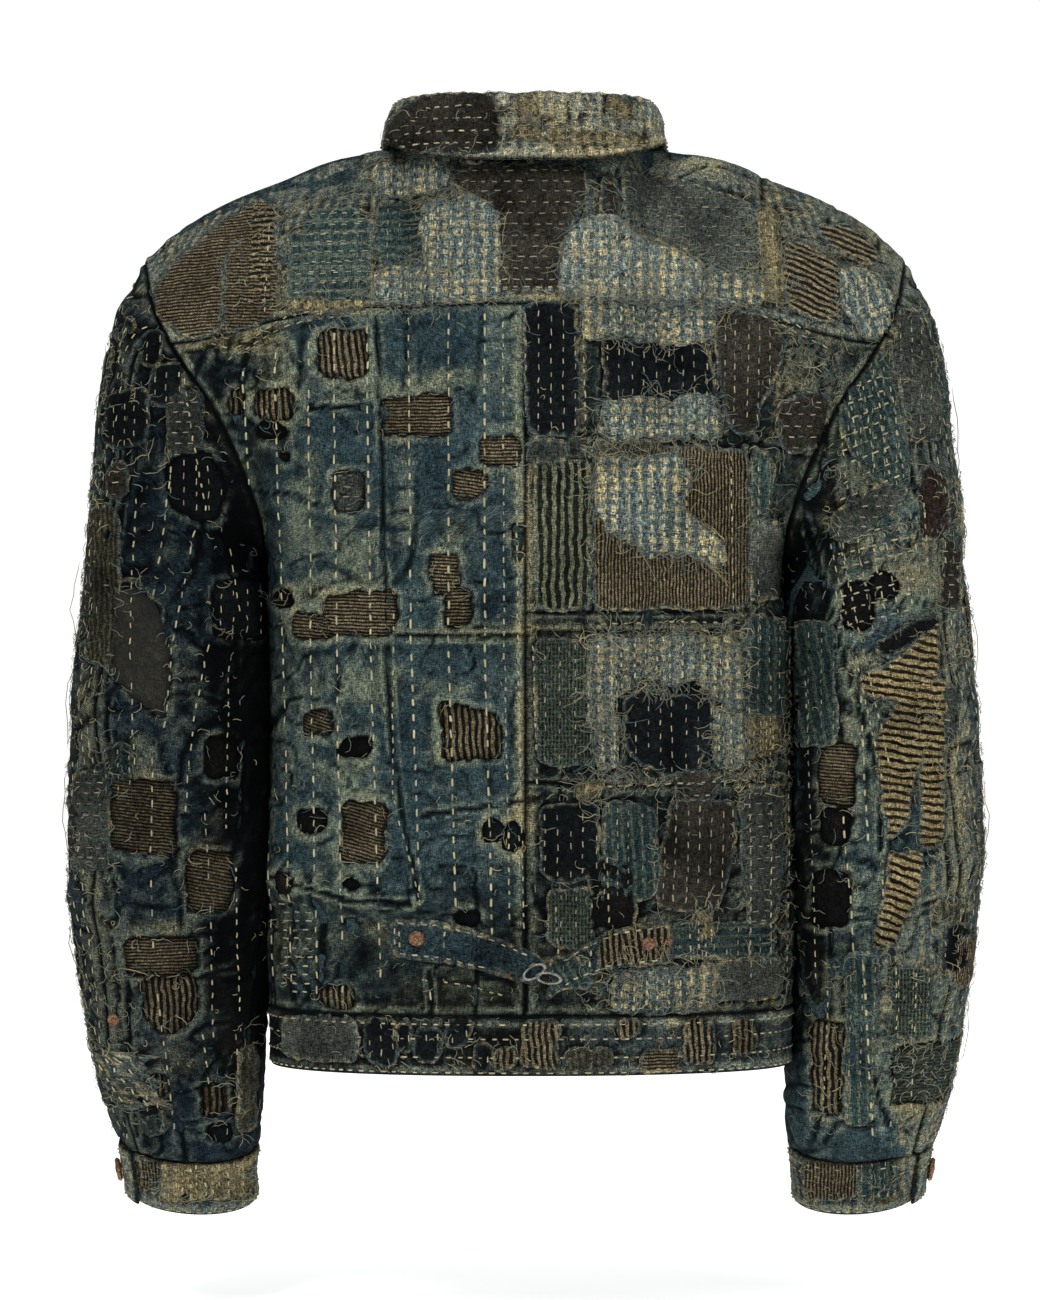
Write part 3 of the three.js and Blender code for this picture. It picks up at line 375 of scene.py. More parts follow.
# The largest rags stand for solids of the model. Each node has its kind, outline and turn.
largeRags = {
    "patch_yoke_stripe_left": ("brownStripe", [(-204, -120), (-168, -108), (-168, -56), (-186, -48),
        (-204, -66)], 88),
    "patch_yoke_teal": ("plaid", [(-160, -97), (-105, -97), (-104, -40), (-130, -38), (-160, -50)], 0),
    "patch_yoke_brown": ("brownPlain", [(-50, -9), (-20, -5), (40, -8), (41, -26), (34, -40), (24, -62),
        (24, -94), (-20, -94), (-21, -44), (-40, -28)], 0),
    "patch_yoke_charcoal": ("charcoal", [(66, -8), (110, -10), (158, -28), (160, -74), (140, -76),
        (118, -64), (92, -58), (88, -44), (68, -36)], 0),
    "patch_yoke_stripe_right": ("ticking", [(175, -52), (196, -58), (216, -76), (214, -112), (192, -108),
        (176, -98)], 66),
    "patch_navy_strip": ("navy", [(0, -102), (34, -102), (35, -190), (14, -191), (2, -188)], 0),
    "patch_navy_block": ("navy", [(52, -126), (70, -128), (122, -126), (126, -150), (128, -186),
        (112, -182), (104, -166), (88, -172), (72, -164), (54, -170)], 0),
    "patch_brown_top": ("brownPlain", [(128, -104), (164, -108), (174, -124), (170, -146), (156, -170),
        (156, -187), (138, -188), (130, -150)], 0),
    "patch_brown_stripe": ("brownStripe", [(46, -204), (90, -199), (148, -200), (150, -250), (148, -304),
        (46, -305)], 0),
    "patch_stripe_column": ("greyStripe", [(6, -209), (43, -209), (44, -305), (8, -305)], 0),
    "patch_check_column": ("check", [(7, -327), (43, -328), (45, -408), (24, -411), (9, -404)], 0),
    "patch_navy_oval": ("navy", [(66, -366), (88, -360), (100, -366), (116, -358), (125, -368),
        (124, -392), (116, -412), (96, -417), (74, -408), (65, -390)], 0),
    "patch_navy_low": ("navy", [(11, -436), (48, -436), (49, -480), (36, -487), (12, -484)], 0),
    "patch_brown_low": ("brownPlain", [(98, -433), (142, -435), (138, -470), (128, -507), (88, -505),
        (90, -472)], 8),
    "patch_left_navy": ("navy", [(-284, -160), (-256, -156), (-254, -192), (-272, -196), (-286, -192)], 0),
    "patch_left_band": ("charcoal", [(-307, -416), (-281, -415), (-280, -480), (-307, -482)], 0),
    "patch_right_charcoal": ("charcoal", [(250, -98), (268, -104), (282, -150), (284, -190), (260, -191),
        (252, -150)], 0),
    "patch_right_stripe": ("boldStripe", [(262, -356), (282, -352), (283, -410), (281, -466), (264, -466),
        (268, -410)], 84),
}


def outlineOf(shape):  # a closed outline with softened corners, a point every 2.5 mm
    if len(shape) == 4 and not hasattr(shape[0], "__len__"):
        x0, z0, x1, z1 = shape
        shape = [(x0, z0), (x1, z0), (x1, z1), (x0, z1)]
        skew = min(x1 - x0, z1 - z0) * 0.22
        points = np.array(shape, float)
        points += skew * np.stack([softNoise(points, 5, 71) - 0.5, softNoise(points, 5, 72) - 0.5], 1)
    else:
        points = np.array(shape, float)
    for near in (3.6, 1.3):
        after = np.roll(points, -1, 0)
        share = np.minimum(0.36, near / np.maximum(np.linalg.norm(after - points, axis=1), 1e-6))[:, None]
        points = np.stack([points * (1 - share) + after * share, points * share + after * (1 - share)],
                          1).reshape(-1, 2)
    closed = np.vstack([points, points[:1]])
    arc = arcOf(closed)
    at = np.linspace(0, arc[-1], max(10, int(arc[-1] / 2.5)), endpoint=False)
    points = np.stack([np.interp(at, arc, closed[:, k]) for k in (0, 1)], 1)
    area = np.sum(points[:, 0] * np.roll(points[:, 1], -1) - points[:, 1] * np.roll(points[:, 0], -1))
    return points if area > 0 else points[::-1]


def ragged(points, amount, seed, grow=0):
    ahead, behind = np.roll(points, -1, 0), np.roll(points, 1, 0)
    along = ahead - behind
    out = np.stack([along[:, 1], -along[:, 0]], 1) / np.maximum(np.linalg.norm(along, axis=1), 1e-6)[:, None]
    wobble = 1.3 * (softNoise(points, 11, seed) - 0.5) + 1.0 * (softNoise(points, 4, seed + 1) - 0.5)
    return points + out * (wobble * 2 * amount + grow)[:, None]


def insideBy(outline, x, z):  # distance to the outline, positive inside
    best, inside = np.full(x.shape, 1e9), np.zeros(x.shape, bool)
    for (x0, z0), (x1, z1) in zip(outline, np.roll(outline, -1, 0)):
        run = np.array([x1 - x0, z1 - z0])
        t = np.clip(((x - x0) * run[0] + (z - z0) * run[1]) / max(run @ run, 1e-9), 0, 1)
        best = np.minimum(best, np.hypot(x - x0 - t * run[0], z - z0 - t * run[1]))
        if z0 != z1:
            inside ^= ((z0 > z) != (z1 > z)) & (x < (x1 - x0) * (z - z0) / (z1 - z0) + x0)
    return np.where(inside, best, -best)


def distanceTo(path, x, z):  # to the nearest place of an open line
    best = np.full(x.shape, 1e9)
    for (x0, z0), (x1, z1) in zip(path[:-1], path[1:]):
        dx, dz = x1 - x0, z1 - z0
        t = np.clip(((x - x0) * dx + (z - z0) * dz) / (dx**2 + dz**2), 0, 1)
        best = np.minimum(best, np.hypot(x - x0 - t * dx, z - z0 - t * dz))
    return best


webKinds = ("fray", "paleFray")


def addOutline(group, tree, view, kind, shape, turn=0, how="on"):
    how = "over" if kind in webKinds and group in ("yoke", "backRight") else how
    amount, grow = (1.3, 0.4) if how == "under" else (1.8 if isLoose(kind) else 1.1, 1.6)
    line = ragged(outlineOf(shape), amount, len(outlines), grow)
    outlines.append(dict(tree=tree, view=view, kind=kind, how=how, line=line, turn=turn, group=group))


def isLoose(kind):
    return kind in (*webKinds, "tanFray")


outlines, bigOutlines = [], {}
for group, (tree, view, entries) in rags.items():
    for entry in entries:
        addOutline(group, tree, view, *entry)
for k, (node, (kind, shape, turn)) in enumerate(largeRags.items()):
    arm = next((word for word in ("left", "right") if node.startswith("patch_" + word)), "")
    tree = arm + "Sleeve" if arm else "body"
    bigOutlines[node] = dict(tree=tree, view="back", kind=kind, how="on", turn=turn,
                             line=ragged(outlineOf(shape), 1.1, 300 + k, 1.8))

# Faded and tan places of the cloth: x, z, half width, half height, fade, tan.
fades = {
    "body": [(-120, -160, 30, 10, 0.5, 0.35), (-70, -155, 34, 8, 0.6, 0.5), (-30, -150, 26, 8, 0.4, 0.3),
        (-165, -150, 18, 26, 0.5, 0.4), (-150, -250, 12, 36, 0.6, 0.2), (-115, -262, 20, 26, 0.5, 0.15),
        (-80, -232, 10, 36, 0.6, 0.35), (-50, -255, 16, 20, 0.5, 0.3), (-125, -294, 44, 8, 0.7, 0.5),
        (-60, -322, 30, 7, 0.7, 0.5), (-20, -322, 24, 7, 0.5, 0.5), (-100, -356, 34, 14, 0.6, 0.15),
        (-120, -415, 32, 12, 0.5, 0.3), (-60, -400, 8, 30, 0.4, 0.3), (-36, -360, 26, 8, 0.4, 0.35),
        (-14, -455, 22, 18, 0.5, 0.6), (-105, -430, 26, 8, 0.5, 0.5), (-92, -520, 22, 12, 0.5, 0.4),
        (-40, -530, 30, 10, 0.5, 0.3), (-150, -530, 22, 18, 0.4, 0.3), (-75, -500, 10, 12, 0.5, 0.35),
        (-20, -560, 30, 8, 0.4, 0.3), (-60, -560, 26, 8, 0.5, 0.3), (2, -250, 5, 60, 0.5, 0.7),
        (-2, -400, 5, 90, 0.5, 0.55), (38, -150, 3, 46, 0.6, 1), (147, -350, 5, 150, 0.5, 0.8),
        (90, -320, 56, 5, 0.5, 0.7), (110, -421, 60, 6, 0.4, 0.6), (24, -318, 22, 5, 0.4, 0.6),
        (180, -150, 18, 22, 0.6, 0.6), (100, -515, 40, 14, 0.5, 0.4), (150, -550, 26, 16, 0.5, 0.4),
        (40, -540, 30, 16, 0.4, 0.3), (-140, -90, 60, 8, 0.6, 0.5), (60, -92, 90, 8, 0.6, 0.9),
        (228, -60, 26, 30, 0.6, 0.7), (-190, -126, 34, 8, 0.5, 0.9), (-240, -90, 10, 26, 0.5, 0.9),
        (165, -60, 6, 40, 0.5, 0.9), (-90, -8, 40, 10, 0.7, 0.6), (110, 0, 50, 10, 0.5, 0.5)],
    "leftSleeve": [(-275, -140, 8, 30, 0.6, 0.4), (-225, -180, 14, 30, 0.5, 0.35),
        (-238, -260, 10, 20, 0.5, 0.3), (-222, -350, 18, 40, 0.5, 0.35), (-258, -400, 20, 12, 0.7, 0.5),
        (-205, -450, 14, 20, 0.4, 0.35), (-258, -418, 22, 8, 0.5, 0.8), (-214, -466, 18, 8, 0.5, 0.7),
        (-245, -520, 30, 8, 0.5, 0.6), (-240, -610, 26, 14, 0.5, 0.4), (-200, -590, 12, 22, 0.5, 0.4),
        (-300, -380, 8, 60, 0.6, 0.5), (-290, -500, 8, 50, 0.5, 0.5), (-270, -600, 10, 40, 0.4, 0.3),
        (-210, -560, 16, 16, 0.4, 0.2)],
    "rightSleeve": [(240, -140, 16, 40, 0.6, 0.6), (232, -200, 18, 34, 0.6, 0.5),
        (222, -262, 18, 18, 0.5, 0.7), (262, -290, 14, 16, 0.5, 0.5), (228, -340, 16, 8, 0.5, 0.6),
        (254, -400, 24, 46, 0.4, 0.6), (218, -380, 8, 30, 0.4, 0.4), (250, -500, 18, 30, 0.5, 0.6),
        (290, -500, 10, 30, 0.5, 0.5), (232, -590, 10, 50, 0.6, 0.3), (206, -590, 12, 50, 0.5, 0.6),
        (262, -600, 18, 40, 0.5, 0.5), (262, -640, 18, 20, 0.5, 0.5), (292, -420, 6, 50, 0.5, 0.5)],
    "front": [(-110, -150, 40, 16, 0.5, 0.3), (-120, -300, 30, 60, 0.4, 0.3),
        (-60, -460, 30, 40, 0.5, 0.3), (110, -180, 40, 20, 0.6, 0.4), (90, -300, 30, 50, 0.5, 0.3),
        (130, -480, 30, 40, 0.5, 0.4)],
}
seamLines = {  # felled seams and darts that run across a panel, seen from behind
    "body": [[(-100, -104), (-97, -170), (-94, -276), (-91, -350), (-87, -406), (-82, -441), (-71, -498)],
        [(0, -191), (60, -190), (128, -189), (176, -200)], [(0, -308), (60, -308), (150, -306)],
        [(52, -104), (51, -190)], [(128, -104), (131, -188)], [(46, -192), (45, -306)], [(151, -190),
        (149, -300), (148, -500)], [(0, -421), (60, -424), (176, -421)], [(48, -322), (48, -420)],
        [(0, -322), (150, -320)], [(50, -430), (48, -505)], [(-64, -548), (-62, -576)], [(-144, -171),
        (-103, -171)], [(-91, -324), (2, -324)], [(-68, -443), (8, -432)], [(-176, -486), (-120, -500),
        (-76, -502)], [(-101, -102), (-101, -24)], [(-50, -96), (-52, -10)], [(62, -6), (64, -96)],
        [(-174, -112), (-172, -44)], [(172, -104), (166, -34)]],
    "leftSleeve": [[(-257, -186), (-271, -238), (-280, -302), (-282, -380), (-283, -467), (-275, -498),
        (-269, -560), (-269, -615), (-267, -666)], [(-262, -560), (-228, -556), (-196, -548)]],
    "rightSleeve": [[(243, -103), (249, -173), (264, -227), (279, -259), (281, -373), (284, -467),
        (287, -506), (279, -597), (274, -651)], [(190, -245), (208, -316), (237, -415), (239, -467)],
        [(200, -520), (240, -512), (284, -500)]],
}
frayAreas = {  # where the cloth itself is worn to a loose tan and blue web: x, z, half width, half height
    "body": [(0, -60, 250, 42, 0.7), (92, -112, 50, 12, 0.6), (92, -180, 44, 12, 0.6),
        (30, -200, 26, 8, 0.5), (95, -345, 52, 24, 1), (160, -240, 10, 50, 0.6), (150, -420, 12, 90, 0.7),
        (177, -440, 9, 130, 0.9), (66, -470, 18, 34, 0.7), (110, -560, 70, 18, 0.8),
        (40, -550, 40, 14, 0.4), (190, -150, 26, 40, 0.9), (48, -300, 4, 100, 0.7), (100, -320, 50, 5, 1),
        (110, -421, 60, 8, 1), (-190, -128, 30, 8, 0.6), (-170, -150, 12, 20, 0.3),
        (-160, -540, 20, 20, 0.3), (150, -320, 20, 20, 0.6)],
    "leftSleeve": [(-284, -140, 14, 70, 0.5), (-292, -300, 10, 90, 0.5), (-296, -440, 12, 60, 0.4),
        (-284, -570, 14, 60, 0.4), (-190, -630, 14, 40, 0.6), (-250, -200, 14, 12, 0.3)],
    "rightSleeve": [(242, -150, 24, 60, 0.9), (224, -230, 24, 30, 0.7), (256, -270, 26, 24, 0.6),
        (286, -330, 14, 90, 0.7), (288, -480, 16, 70, 0.8), (262, -560, 26, 50, 0.6),
        (270, -630, 20, 40, 0.7), (206, -600, 12, 60, 0.6)],
    "front": [(80, -130, 50, 40, 0.6), (-60, -270, 30, 36, 0.5), (90, -540, 50, 30, 0.5)],
}


def bell(value, middle, reach):
    return np.exp(-(((value - middle) / reach) ** 2))


def placesRound(item, p, n, margin):  # the points of a panel within a box round a rag, on its side
    a, b = viewPlane(p, item["view"])
    (lowA, lowB), (highA, highB) = item["line"].min(0) - margin, item["line"].max(0) + margin
    return (a > lowA) & (a < highA) & (b > lowB) & (b < highB) & (facing(n, item["view"]) > 0.05)


def dress(p, n, tree, settings):  # relief, wear and painted shade of a panel's outer face
    backwards = "front" if tree == "front" else "back"
    x, z = viewPlane(p, backwards)
    shown = facing(n, backwards)
    du, duEnd, dv, dvEnd = edgeDistances(p)
    lift = settings.get("wrinkle", 1) * (
        3.2 * (softNoise(p * [1, 1, 0.55], 46, 1) - 0.5) + 1.7 * (softNoise(p * [1, 1, 1.3], 17, 2) - 0.5)
        + 0.9 * (softNoise(p, 7.5, 3) - 0.5) + 0.5 * (softNoise(p, 4, 4) - 0.5)
        - 1.5 * bell(softNoise(p * [1, 1, 0.4], 40, 15), 0.5, 0.035)
        - 1.0 * bell(softNoise(p * [1, 1, 1.9], 30, 16), 0.5, 0.04))
    fade = 0.2 + 0.62 * (softNoise(p * [1, 1, 0.5], 34, 5) - 0.35) + 0.4 * (softNoise(p, 9, 6) - 0.5)
    tan = 0.55 * (softNoise(p, 26, 7) - 0.55) + 0.35 * (softNoise(p, 7, 8) - 0.5)
    tan = tan + settings.get("tan", 0)
    fray = np.full(x.shape, settings.get("fray", 0.0))
    for cx, cz, hx, hz, more, tanner in fades.get(tree, []):
        near = np.exp(-(((x - cx) / hx) ** 2) - ((z - cz) / hz) ** 2) * shown
        fade, tan = fade + near * more, tan + near * tanner
    wobble = 0.5 * (softNoise(p, 15, 9) - 0.5)
    for cx, cz, hx, hz, strength in frayAreas.get(tree, []):
        reach = np.maximum(np.abs(x - cx) / hx, np.abs(z - cz) / hz) + wobble
        fray = np.maximum(fray, strength * (1 - ease(reach, 0.75, 1.15)) * shown)
    cords = np.sin(x * 0.74 + 3 * softNoise(p, 30, 14))
    lift = lift + fray * (1.7 * (softNoise(p, 3.6, 10) - 0.4) + 0.45 * cords)
    sunk, paintedShade = 0 * x, 0 * x
    for item in [*outlines, *bigOutlines.values()]:
        isHole = item["how"] == "under"
        near = item["tree"] == tree and placesRound(item, p, n, 12 if isHole else 6)
        if not np.any(near):
            continue
        inside = insideBy(item["line"], *(v[near] for v in viewPlane(p, item["view"])))
        if not isHole:  # a patch throws a little shadow round itself
            outside = np.maximum(-inside - 0.5, 0)
            paintedShade[near] = np.maximum(paintedShade[near], 0.5 * bell(outside, 0, 2.4))
            continue
        sunk[near] = np.maximum(sunk[near], ease(inside, -1.4, 1.6))
        rim = bell(inside, -3.2, 2.6)
        lift[near] += 0.55 * rim
        patchy = softNoise(p[near], 8, 31)
        tan[near] += 0.7 * patchy * bell(inside, -1.2, 1.9)
        fade[near] += 0.3 * patchy * bell(inside, -2.4, 3.6)
        fray[near] = np.maximum(fray[near], 0.28 * rim)
        # painted shade just inside the hole's edge
        paintedShade[near] = np.maximum(paintedShade[near], 0.9 * ease(inside, -0.6, 0.8))
    lift = lift * (1 - sunk) - 2.0 * sunk
    uneven = softNoise(p, 9, 33)
    for path in seamLines.get(tree, []):
        away = distanceTo(path, x, z)
        away = np.where(shown > 0.1, away, 99)
        lift = lift + (0.9 * bell(away, 3, 1.8) - 0.9 * bell(away, 0, 1.5)) * (1 - sunk)
        # painted shade along the sunken seam line
        paintedShade = np.maximum(paintedShade, 0.62 * bell(away, 0, 1.6))
        fade = fade + 0.35 * uneven * bell(away, 3.4, 2)
    seam = np.full(x.shape, 1e9)
    for which, away in zip("abcd", (du, duEnd, dv, dvEnd)):
        if which in settings.get("seams", "abcd"):
            seam = np.minimum(seam, away)
    lift = lift * ease(seam, -1, 6) + 0.9 * bell(seam, 4.5, 3) - 1.0 * bell(seam, 0, 1.6)
    tan = tan + 0.6 * bell(seam, 5, 4) * softNoise(p, 11, 11)
    fade = fade + 0.3 * bell(seam, 5, 5)
    # Shade: painted shade in the grooves at the panel's edges, uneven darkening, the painted shade gathered
    # above, and the panel's own darkening from its settings.
    shade = 0.8 * bell(seam, 0, 1.8) + 0.5 * (softNoise(p, 60, 12) - 0.5) + paintedShade
    shade = shade + 0.3 * (softNoise(p * [1, 1, 0.6], 13, 13) - 0.5)
    shade = shade + settings.get("shade", lambda q: 0)(p)
    # Raised places fade as worn cloth does; sunken places get painted shade.
    rough, broad = standout(lift, 3), standout(lift, 16)
    fade, shade = fade + 0.4 * rough + 0.16 * broad, shade - 0.8 * rough - 0.34 * broad
    wear = np.stack([np.clip(v, 0, 1) for v in (fade, tan, shade, fray)], -1)
    return p + n * lift[..., None], wear


def standout(height, times):  # how far each point stands above its neighbours
    around = height.copy()
    for _ in range(times):
        padded = np.pad(around, 1, mode="edge")
        beside = padded[:-2, 1:-1] + padded[2:, 1:-1] + padded[1:-1, :-2] + padded[1:-1, 2:]
        around = (beside + around * 4) / 8
    return height - around


def addPanel(name, p, tree, settings, refer):  # refer: a point inside, to tell which way is out
    n = gridNormals(p)
    if np.sum(n * (p - refer)) < 0:
        p, n = p[::-1], -n[::-1]
    du, _, dv, _ = edgeDistances(p)
    uv = np.stack([du - du[-1:] / 2, dv], -1)
    outer, wear = dress(p, n, tree, settings)
    panels[name] = dict(normals=gridNormals(outer), points=outer, uv=uv, wear=wear, tree=tree,
                        inner=p - n * settings["wall"], **settings)


# Back halves, yoke and fronts.
clothWall = 2
ordered = np.r_[np.linspace(0, 0.4725, 44), np.linspace(0.4755, 1, 50)]


def bent(p, n, z, folds, keep, more=0):  # moved out along the normals by the folds seen from behind
    return p + n * (foldHeight(folds, p[..., 0], z) * facing(n, "back") * keep + more)[..., None]


def widened(p):  # the lower body hangs out a little further on the right
    reach = body["hang"] * ease(p[..., 0], 70, 178) * (1 - ease(p[..., 2], -330, -280))
    return p + reach[..., None] * [1, 0, 0]


def backShade(underArm, low):  # darker beside the arm and towards the band
    def shade(q):
        across, z = np.abs(q[..., 0]), q[..., 2]
        side = underArm * ease(across, 150, 182) * ease(z, -560, -300)
        return side + low * (1 - ease(z, -540, -450)) + 0.08 + 0.1 * (1 - ease(z, -340, -260))
    return shade


bodyMiddle = [0, 4, -340]
backSet = {"rows": 190, "wall": clothWall, "flat": (0.26, 0.525), "area": 0.113,
           "dark": {-1: (0.6, 0.6), 1: (0.1, 0.3)}}
yokeSet = {"rows": 52, "wall": clothWall, "flat": (0.643, 0.145), "area": 0.0712, "fray": 0.25, "tan": 0.12}
frontSet = {"rows": 150, "columns": 62, "wall": clothWall, "flat": (0.362, 0.618), "area": 0.151,
            "underarmShare": 0.54}
for side, name in ((-1, "back_left"), (1, "back_right")):
    s, r = np.meshgrid(ordered, np.linspace(0, 1, backSet["rows"]), indexing="ij")
    z = body["bandTop"] + (yokeSeam(s) - body["bandTop"]) * r
    p = bodyPoint(True, columnAtHeight(s, z), z)
    p[..., 0] *= side
    p = widened(p)
    reach = ease(z, -520, -450) * (1 - ease(z, -125, -108))
    pleat = body["pleat"][side] * reach * (1 - ease(s, 0.474, 0.85)) * (s > body["pleatColumn"])
    p = bent(p, outwards(p, -1), z, body["folds"], 1 - ease(s, 0.86, 1), pleat)
    settings = {**backSet, "tan": 0.02 * side, "shade": backShade(*backSet["dark"][side])}
    if side > 0:
        settings["fray"] = 0.12
    addPanel(name, p, "body", settings, bodyMiddle)

s, r = np.meshgrid(np.linspace(0, 1, 96), np.linspace(0, 1, yokeSet["rows"]), indexing="ij")
start = shareAtHeight(True, s, yokeSeam(s))
half = upperSheet(True, s, start + (1 - start) * r)
whole = np.concatenate([(half * [-1, 1, 1])[:0:-1], half])
addPanel("back_yoke", whole, "body", {**yokeSet, "seams": "abc"}, [0, 30, -120])

lapLift = clothWall + 1.6
for side, name in ((-1, "front_left"), (1, "front_right")):
    across, up = (np.linspace(0, 1, frontSet[key]) for key in ("columns", "rows"))
    s, r = np.meshgrid(across, up, indexing="ij")
    split = frontSet["underarmShare"]
    z = body["bandTop"] + (body["underarm"] - body["bandTop"]) * np.minimum(r / split, 1)
    lower, upper = bodyPoint(False, s, z), upperSheet(False, s, np.clip((r - split) / (1 - split), 0, 1))
    p = np.where((r < split)[..., None], lower, upper)
    lap = []
    for away in np.linspace(body["overlap"], 0, 6)[:-1]:  # the front edge runs past the centre line
        t = away / np.abs(p[1, :, 0] - p[0, :, 0])
        k = np.minimum(t.astype(int), 8)
        rows = np.arange(p.shape[1])
        between = p[k, rows] + (p[k + 1, rows] - p[k, rows]) * (t - k)[:, None]
        lap.append(between * [-1, 1, 1])
    p = np.concatenate([np.array(lap), p])
    p[..., 0] *= side
    p = widened(p)
    if side < 0:
        p = p + outwards(p, 1) * (lapLift * (1 - ease(-p[..., 0], 16, 70)))[..., None]
    addPanel(name, p, "front", {**frontSet, "fray": 0.05}, bodyMiddle)

for name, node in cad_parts.items():  # the cloth comes up to meet the back of each button
    if name.startswith("front_button"):
        spots = np.array([node.matrix_world @ v.co for v in node.data.vertices]) * 1000
        (middleX, _, middleZ), back = (spots.min(0) + spots.max(0)) / 2, spots[:, 1].min()
        outer = panels["front_left"]["points"]
        away = np.hypot(outer[..., 0] - middleX, outer[..., 2] - middleZ)
        rise = back + 0.5 - flat(outer)[away.argmin(), 1]
        outer[..., 1] += max(rise, 0) * np.exp(-((away / 13) ** 2))

# Waistband, from one end at the centre front right round to the other, which lies on top.
bandSet = {"wall": 2.6, "stations": 430, "rows": 17, "flat": (0.989, 0.04), "area": 0.039, "wrinkle": 0.45,
           "fray": 0.2, "tan": 0.1, "seams": "cd", "shade": lambda q: 0.8 - 0.4 * ease(q[..., 0], 0, 60)}
share, z = np.meshgrid(np.linspace(0, 1, bandSet["stations"]), np.linspace(-617, -577.3, bandSet["rows"]),
                       indexing="ij")
p = widened(ringPoint(np.radians(-184.5 + 369 * share), z))
out = unit((p - [0, 4, 0]) * [1, 1, 0])
p = p + out * (0.8 + 3.4 * ease(1 - share, 0.93, 1))[..., None]
addPanel("waistband", p, "band", bandSet, [0, 4, -597])

# Sleeves: stations down the arm, each with its outer edge x, z and inner edge x, z, the middle's place front
# to back, half the depth, and the lean in degrees.
sleeve = {
    "stations": [
        (279, -96, 181, -284, 2, 82, 0), (290, -142, 181.5, -296, -3, 78, 0),
        (297, -202, 181.5, -314, -9, 73, 0), (303, -275, 180, -346, -15, 69, 0),
        (309, -345, 180, -390, -19, 66, 1), (313, -415, 180, -442, -20, 65, 3),
        (314, -480, 180, -497, -17, 64, 6), (310, -540, 181, -550, -8, 61, 9),
        (303, -592, 181, -598, 4, 57, 12), (296, -634, 180, -640, 15, 52, 13),
        (285, -669, 184, -675, 24, 47, 14)],
    "rows": 205, "top": 72, "under": 66, "wall": clothWall, "close": 6,
    "folds": [
        ((-300, -250), (-215, -330), 20, 6), ((-305, -365), (-205, -410), 18, 5),
        ((-290, -420), (-210, -470), 16, -5), ((-305, -500), (-205, -535), 18, 5),
        ((-285, -600), (-200, -585), 16, 4), ((205, -260), (290, -230), 20, 5),
        ((215, -330), (300, -380), 20, 6), ((210, -430), (300, -410), 18, -5),
        ((215, -500), (300, -480), 18, 6), ((210, -585), (280, -560), 16, 4),
        ((190, -245), (208, -316), 3, 1.6), ((208, -316), (238, -415), 3, 1.6),
        ((-240, -330), (-200, -345), 6, 2), ((-262, -560), (-200, -545), 7, 2.5),
        ((-250, -470), (-190, -440), 7, 2.5), ((200, -380), (250, -330), 6, 2),
        ((205, -540), (270, -520), 6, 2)],
    "flatTop": (0.304, 0.619), "areaTop": 0.115, "flatUnder": (0.311, 0.589), "areaUnder": 0.097,
}


def section(station, angle):  # angle 0 is the outer edge, a quarter turn the back
    ox, oz, ix, iz, middle, depth, lean = station
    outer, inner, lean = np.array([ox, middle, oz]), np.array([ix, middle, iz]), math.radians(lean)
    across = (outer - inner) / 2
    deep = np.array([0, -math.cos(lean), -math.sin(lean)]) * depth
    return inner + across + np.cos(angle)[..., None] * across + np.sin(angle)[..., None] * deep


def armholeAt(angle):
    turn = np.mod(angle, 2 * np.pi)
    behind = armholeLine[True](1 - turn / np.pi)
    return np.where((turn <= np.pi)[..., None], behind, armholeLine[False](turn / np.pi - 1))


def sleeveGrid(angles):
    rows = [armholeAt(angles)] + [section(station, angles) for station in sleeve["stations"]]
    return throughPoints(np.array(rows), np.linspace(1, 0, sleeve["rows"])).transpose(1, 0, 2)


def sleeveShade(level, besideBody):
    inner = lambda q: besideBody * (1 - ease(np.abs(q[..., 0]), 190, 232))
    return lambda q: level + inner(q) * ease(q[..., 2], -700, -560)


for side, word in ((-1, "left"), (1, "right")):
    tree = word + "Sleeve"
    whole = sleeveGrid(np.radians(np.linspace(0, 360, 90)))
    axis = whole.mean(0)
    for part, start in (("top", -130), ("under", 50)):  # each covers half the way round
        p = sleeveGrid(np.radians(np.linspace(start, start + 180, sleeve[part])))
        n = gridNormals(p)
        n = n * np.sign(np.sum(n * (p - axis[None])))
        keep = 1 - ease(np.linspace(0, 1, sleeve["rows"]), 0.78, 0.94)
        x, z = p[..., 0], p[..., 2]  # the inner edge stands clear of the body
        close = (1 - ease(x, 184, 216)) * ease(z, -640, -560) * (1 - ease(z, -300, -262))
        shift = sleeve["close"] - (side > 0) * body["hang"] * (1 - ease(z, -350, -310))
        p = p - (close * shift)[..., None] * [1, 0, 0]
        p, n, middle = p * [side, 1, 1], n * [side, 1, 1], axis * [side, 1, 1]
        p = bent(p, n, p[..., 2], sleeve["folds"], keep)
        settings = {"wall": clothWall, "flat": sleeve["flat" + part.title()], "seams": "abd", "wrinkle": 1.25,
                    "shade": sleeveShade(*((0.34, 1.2) if side < 0 else (0.1, 1.0))),
                    "area": sleeve["area" + part.title()], "fray": 0.22 if part == "top" else 0.05,
                    "tan": 0.1 if part == "top" else 0.02}
        addPanel(f"sleeve_{word}_{part}", p, tree, settings, middle[None])

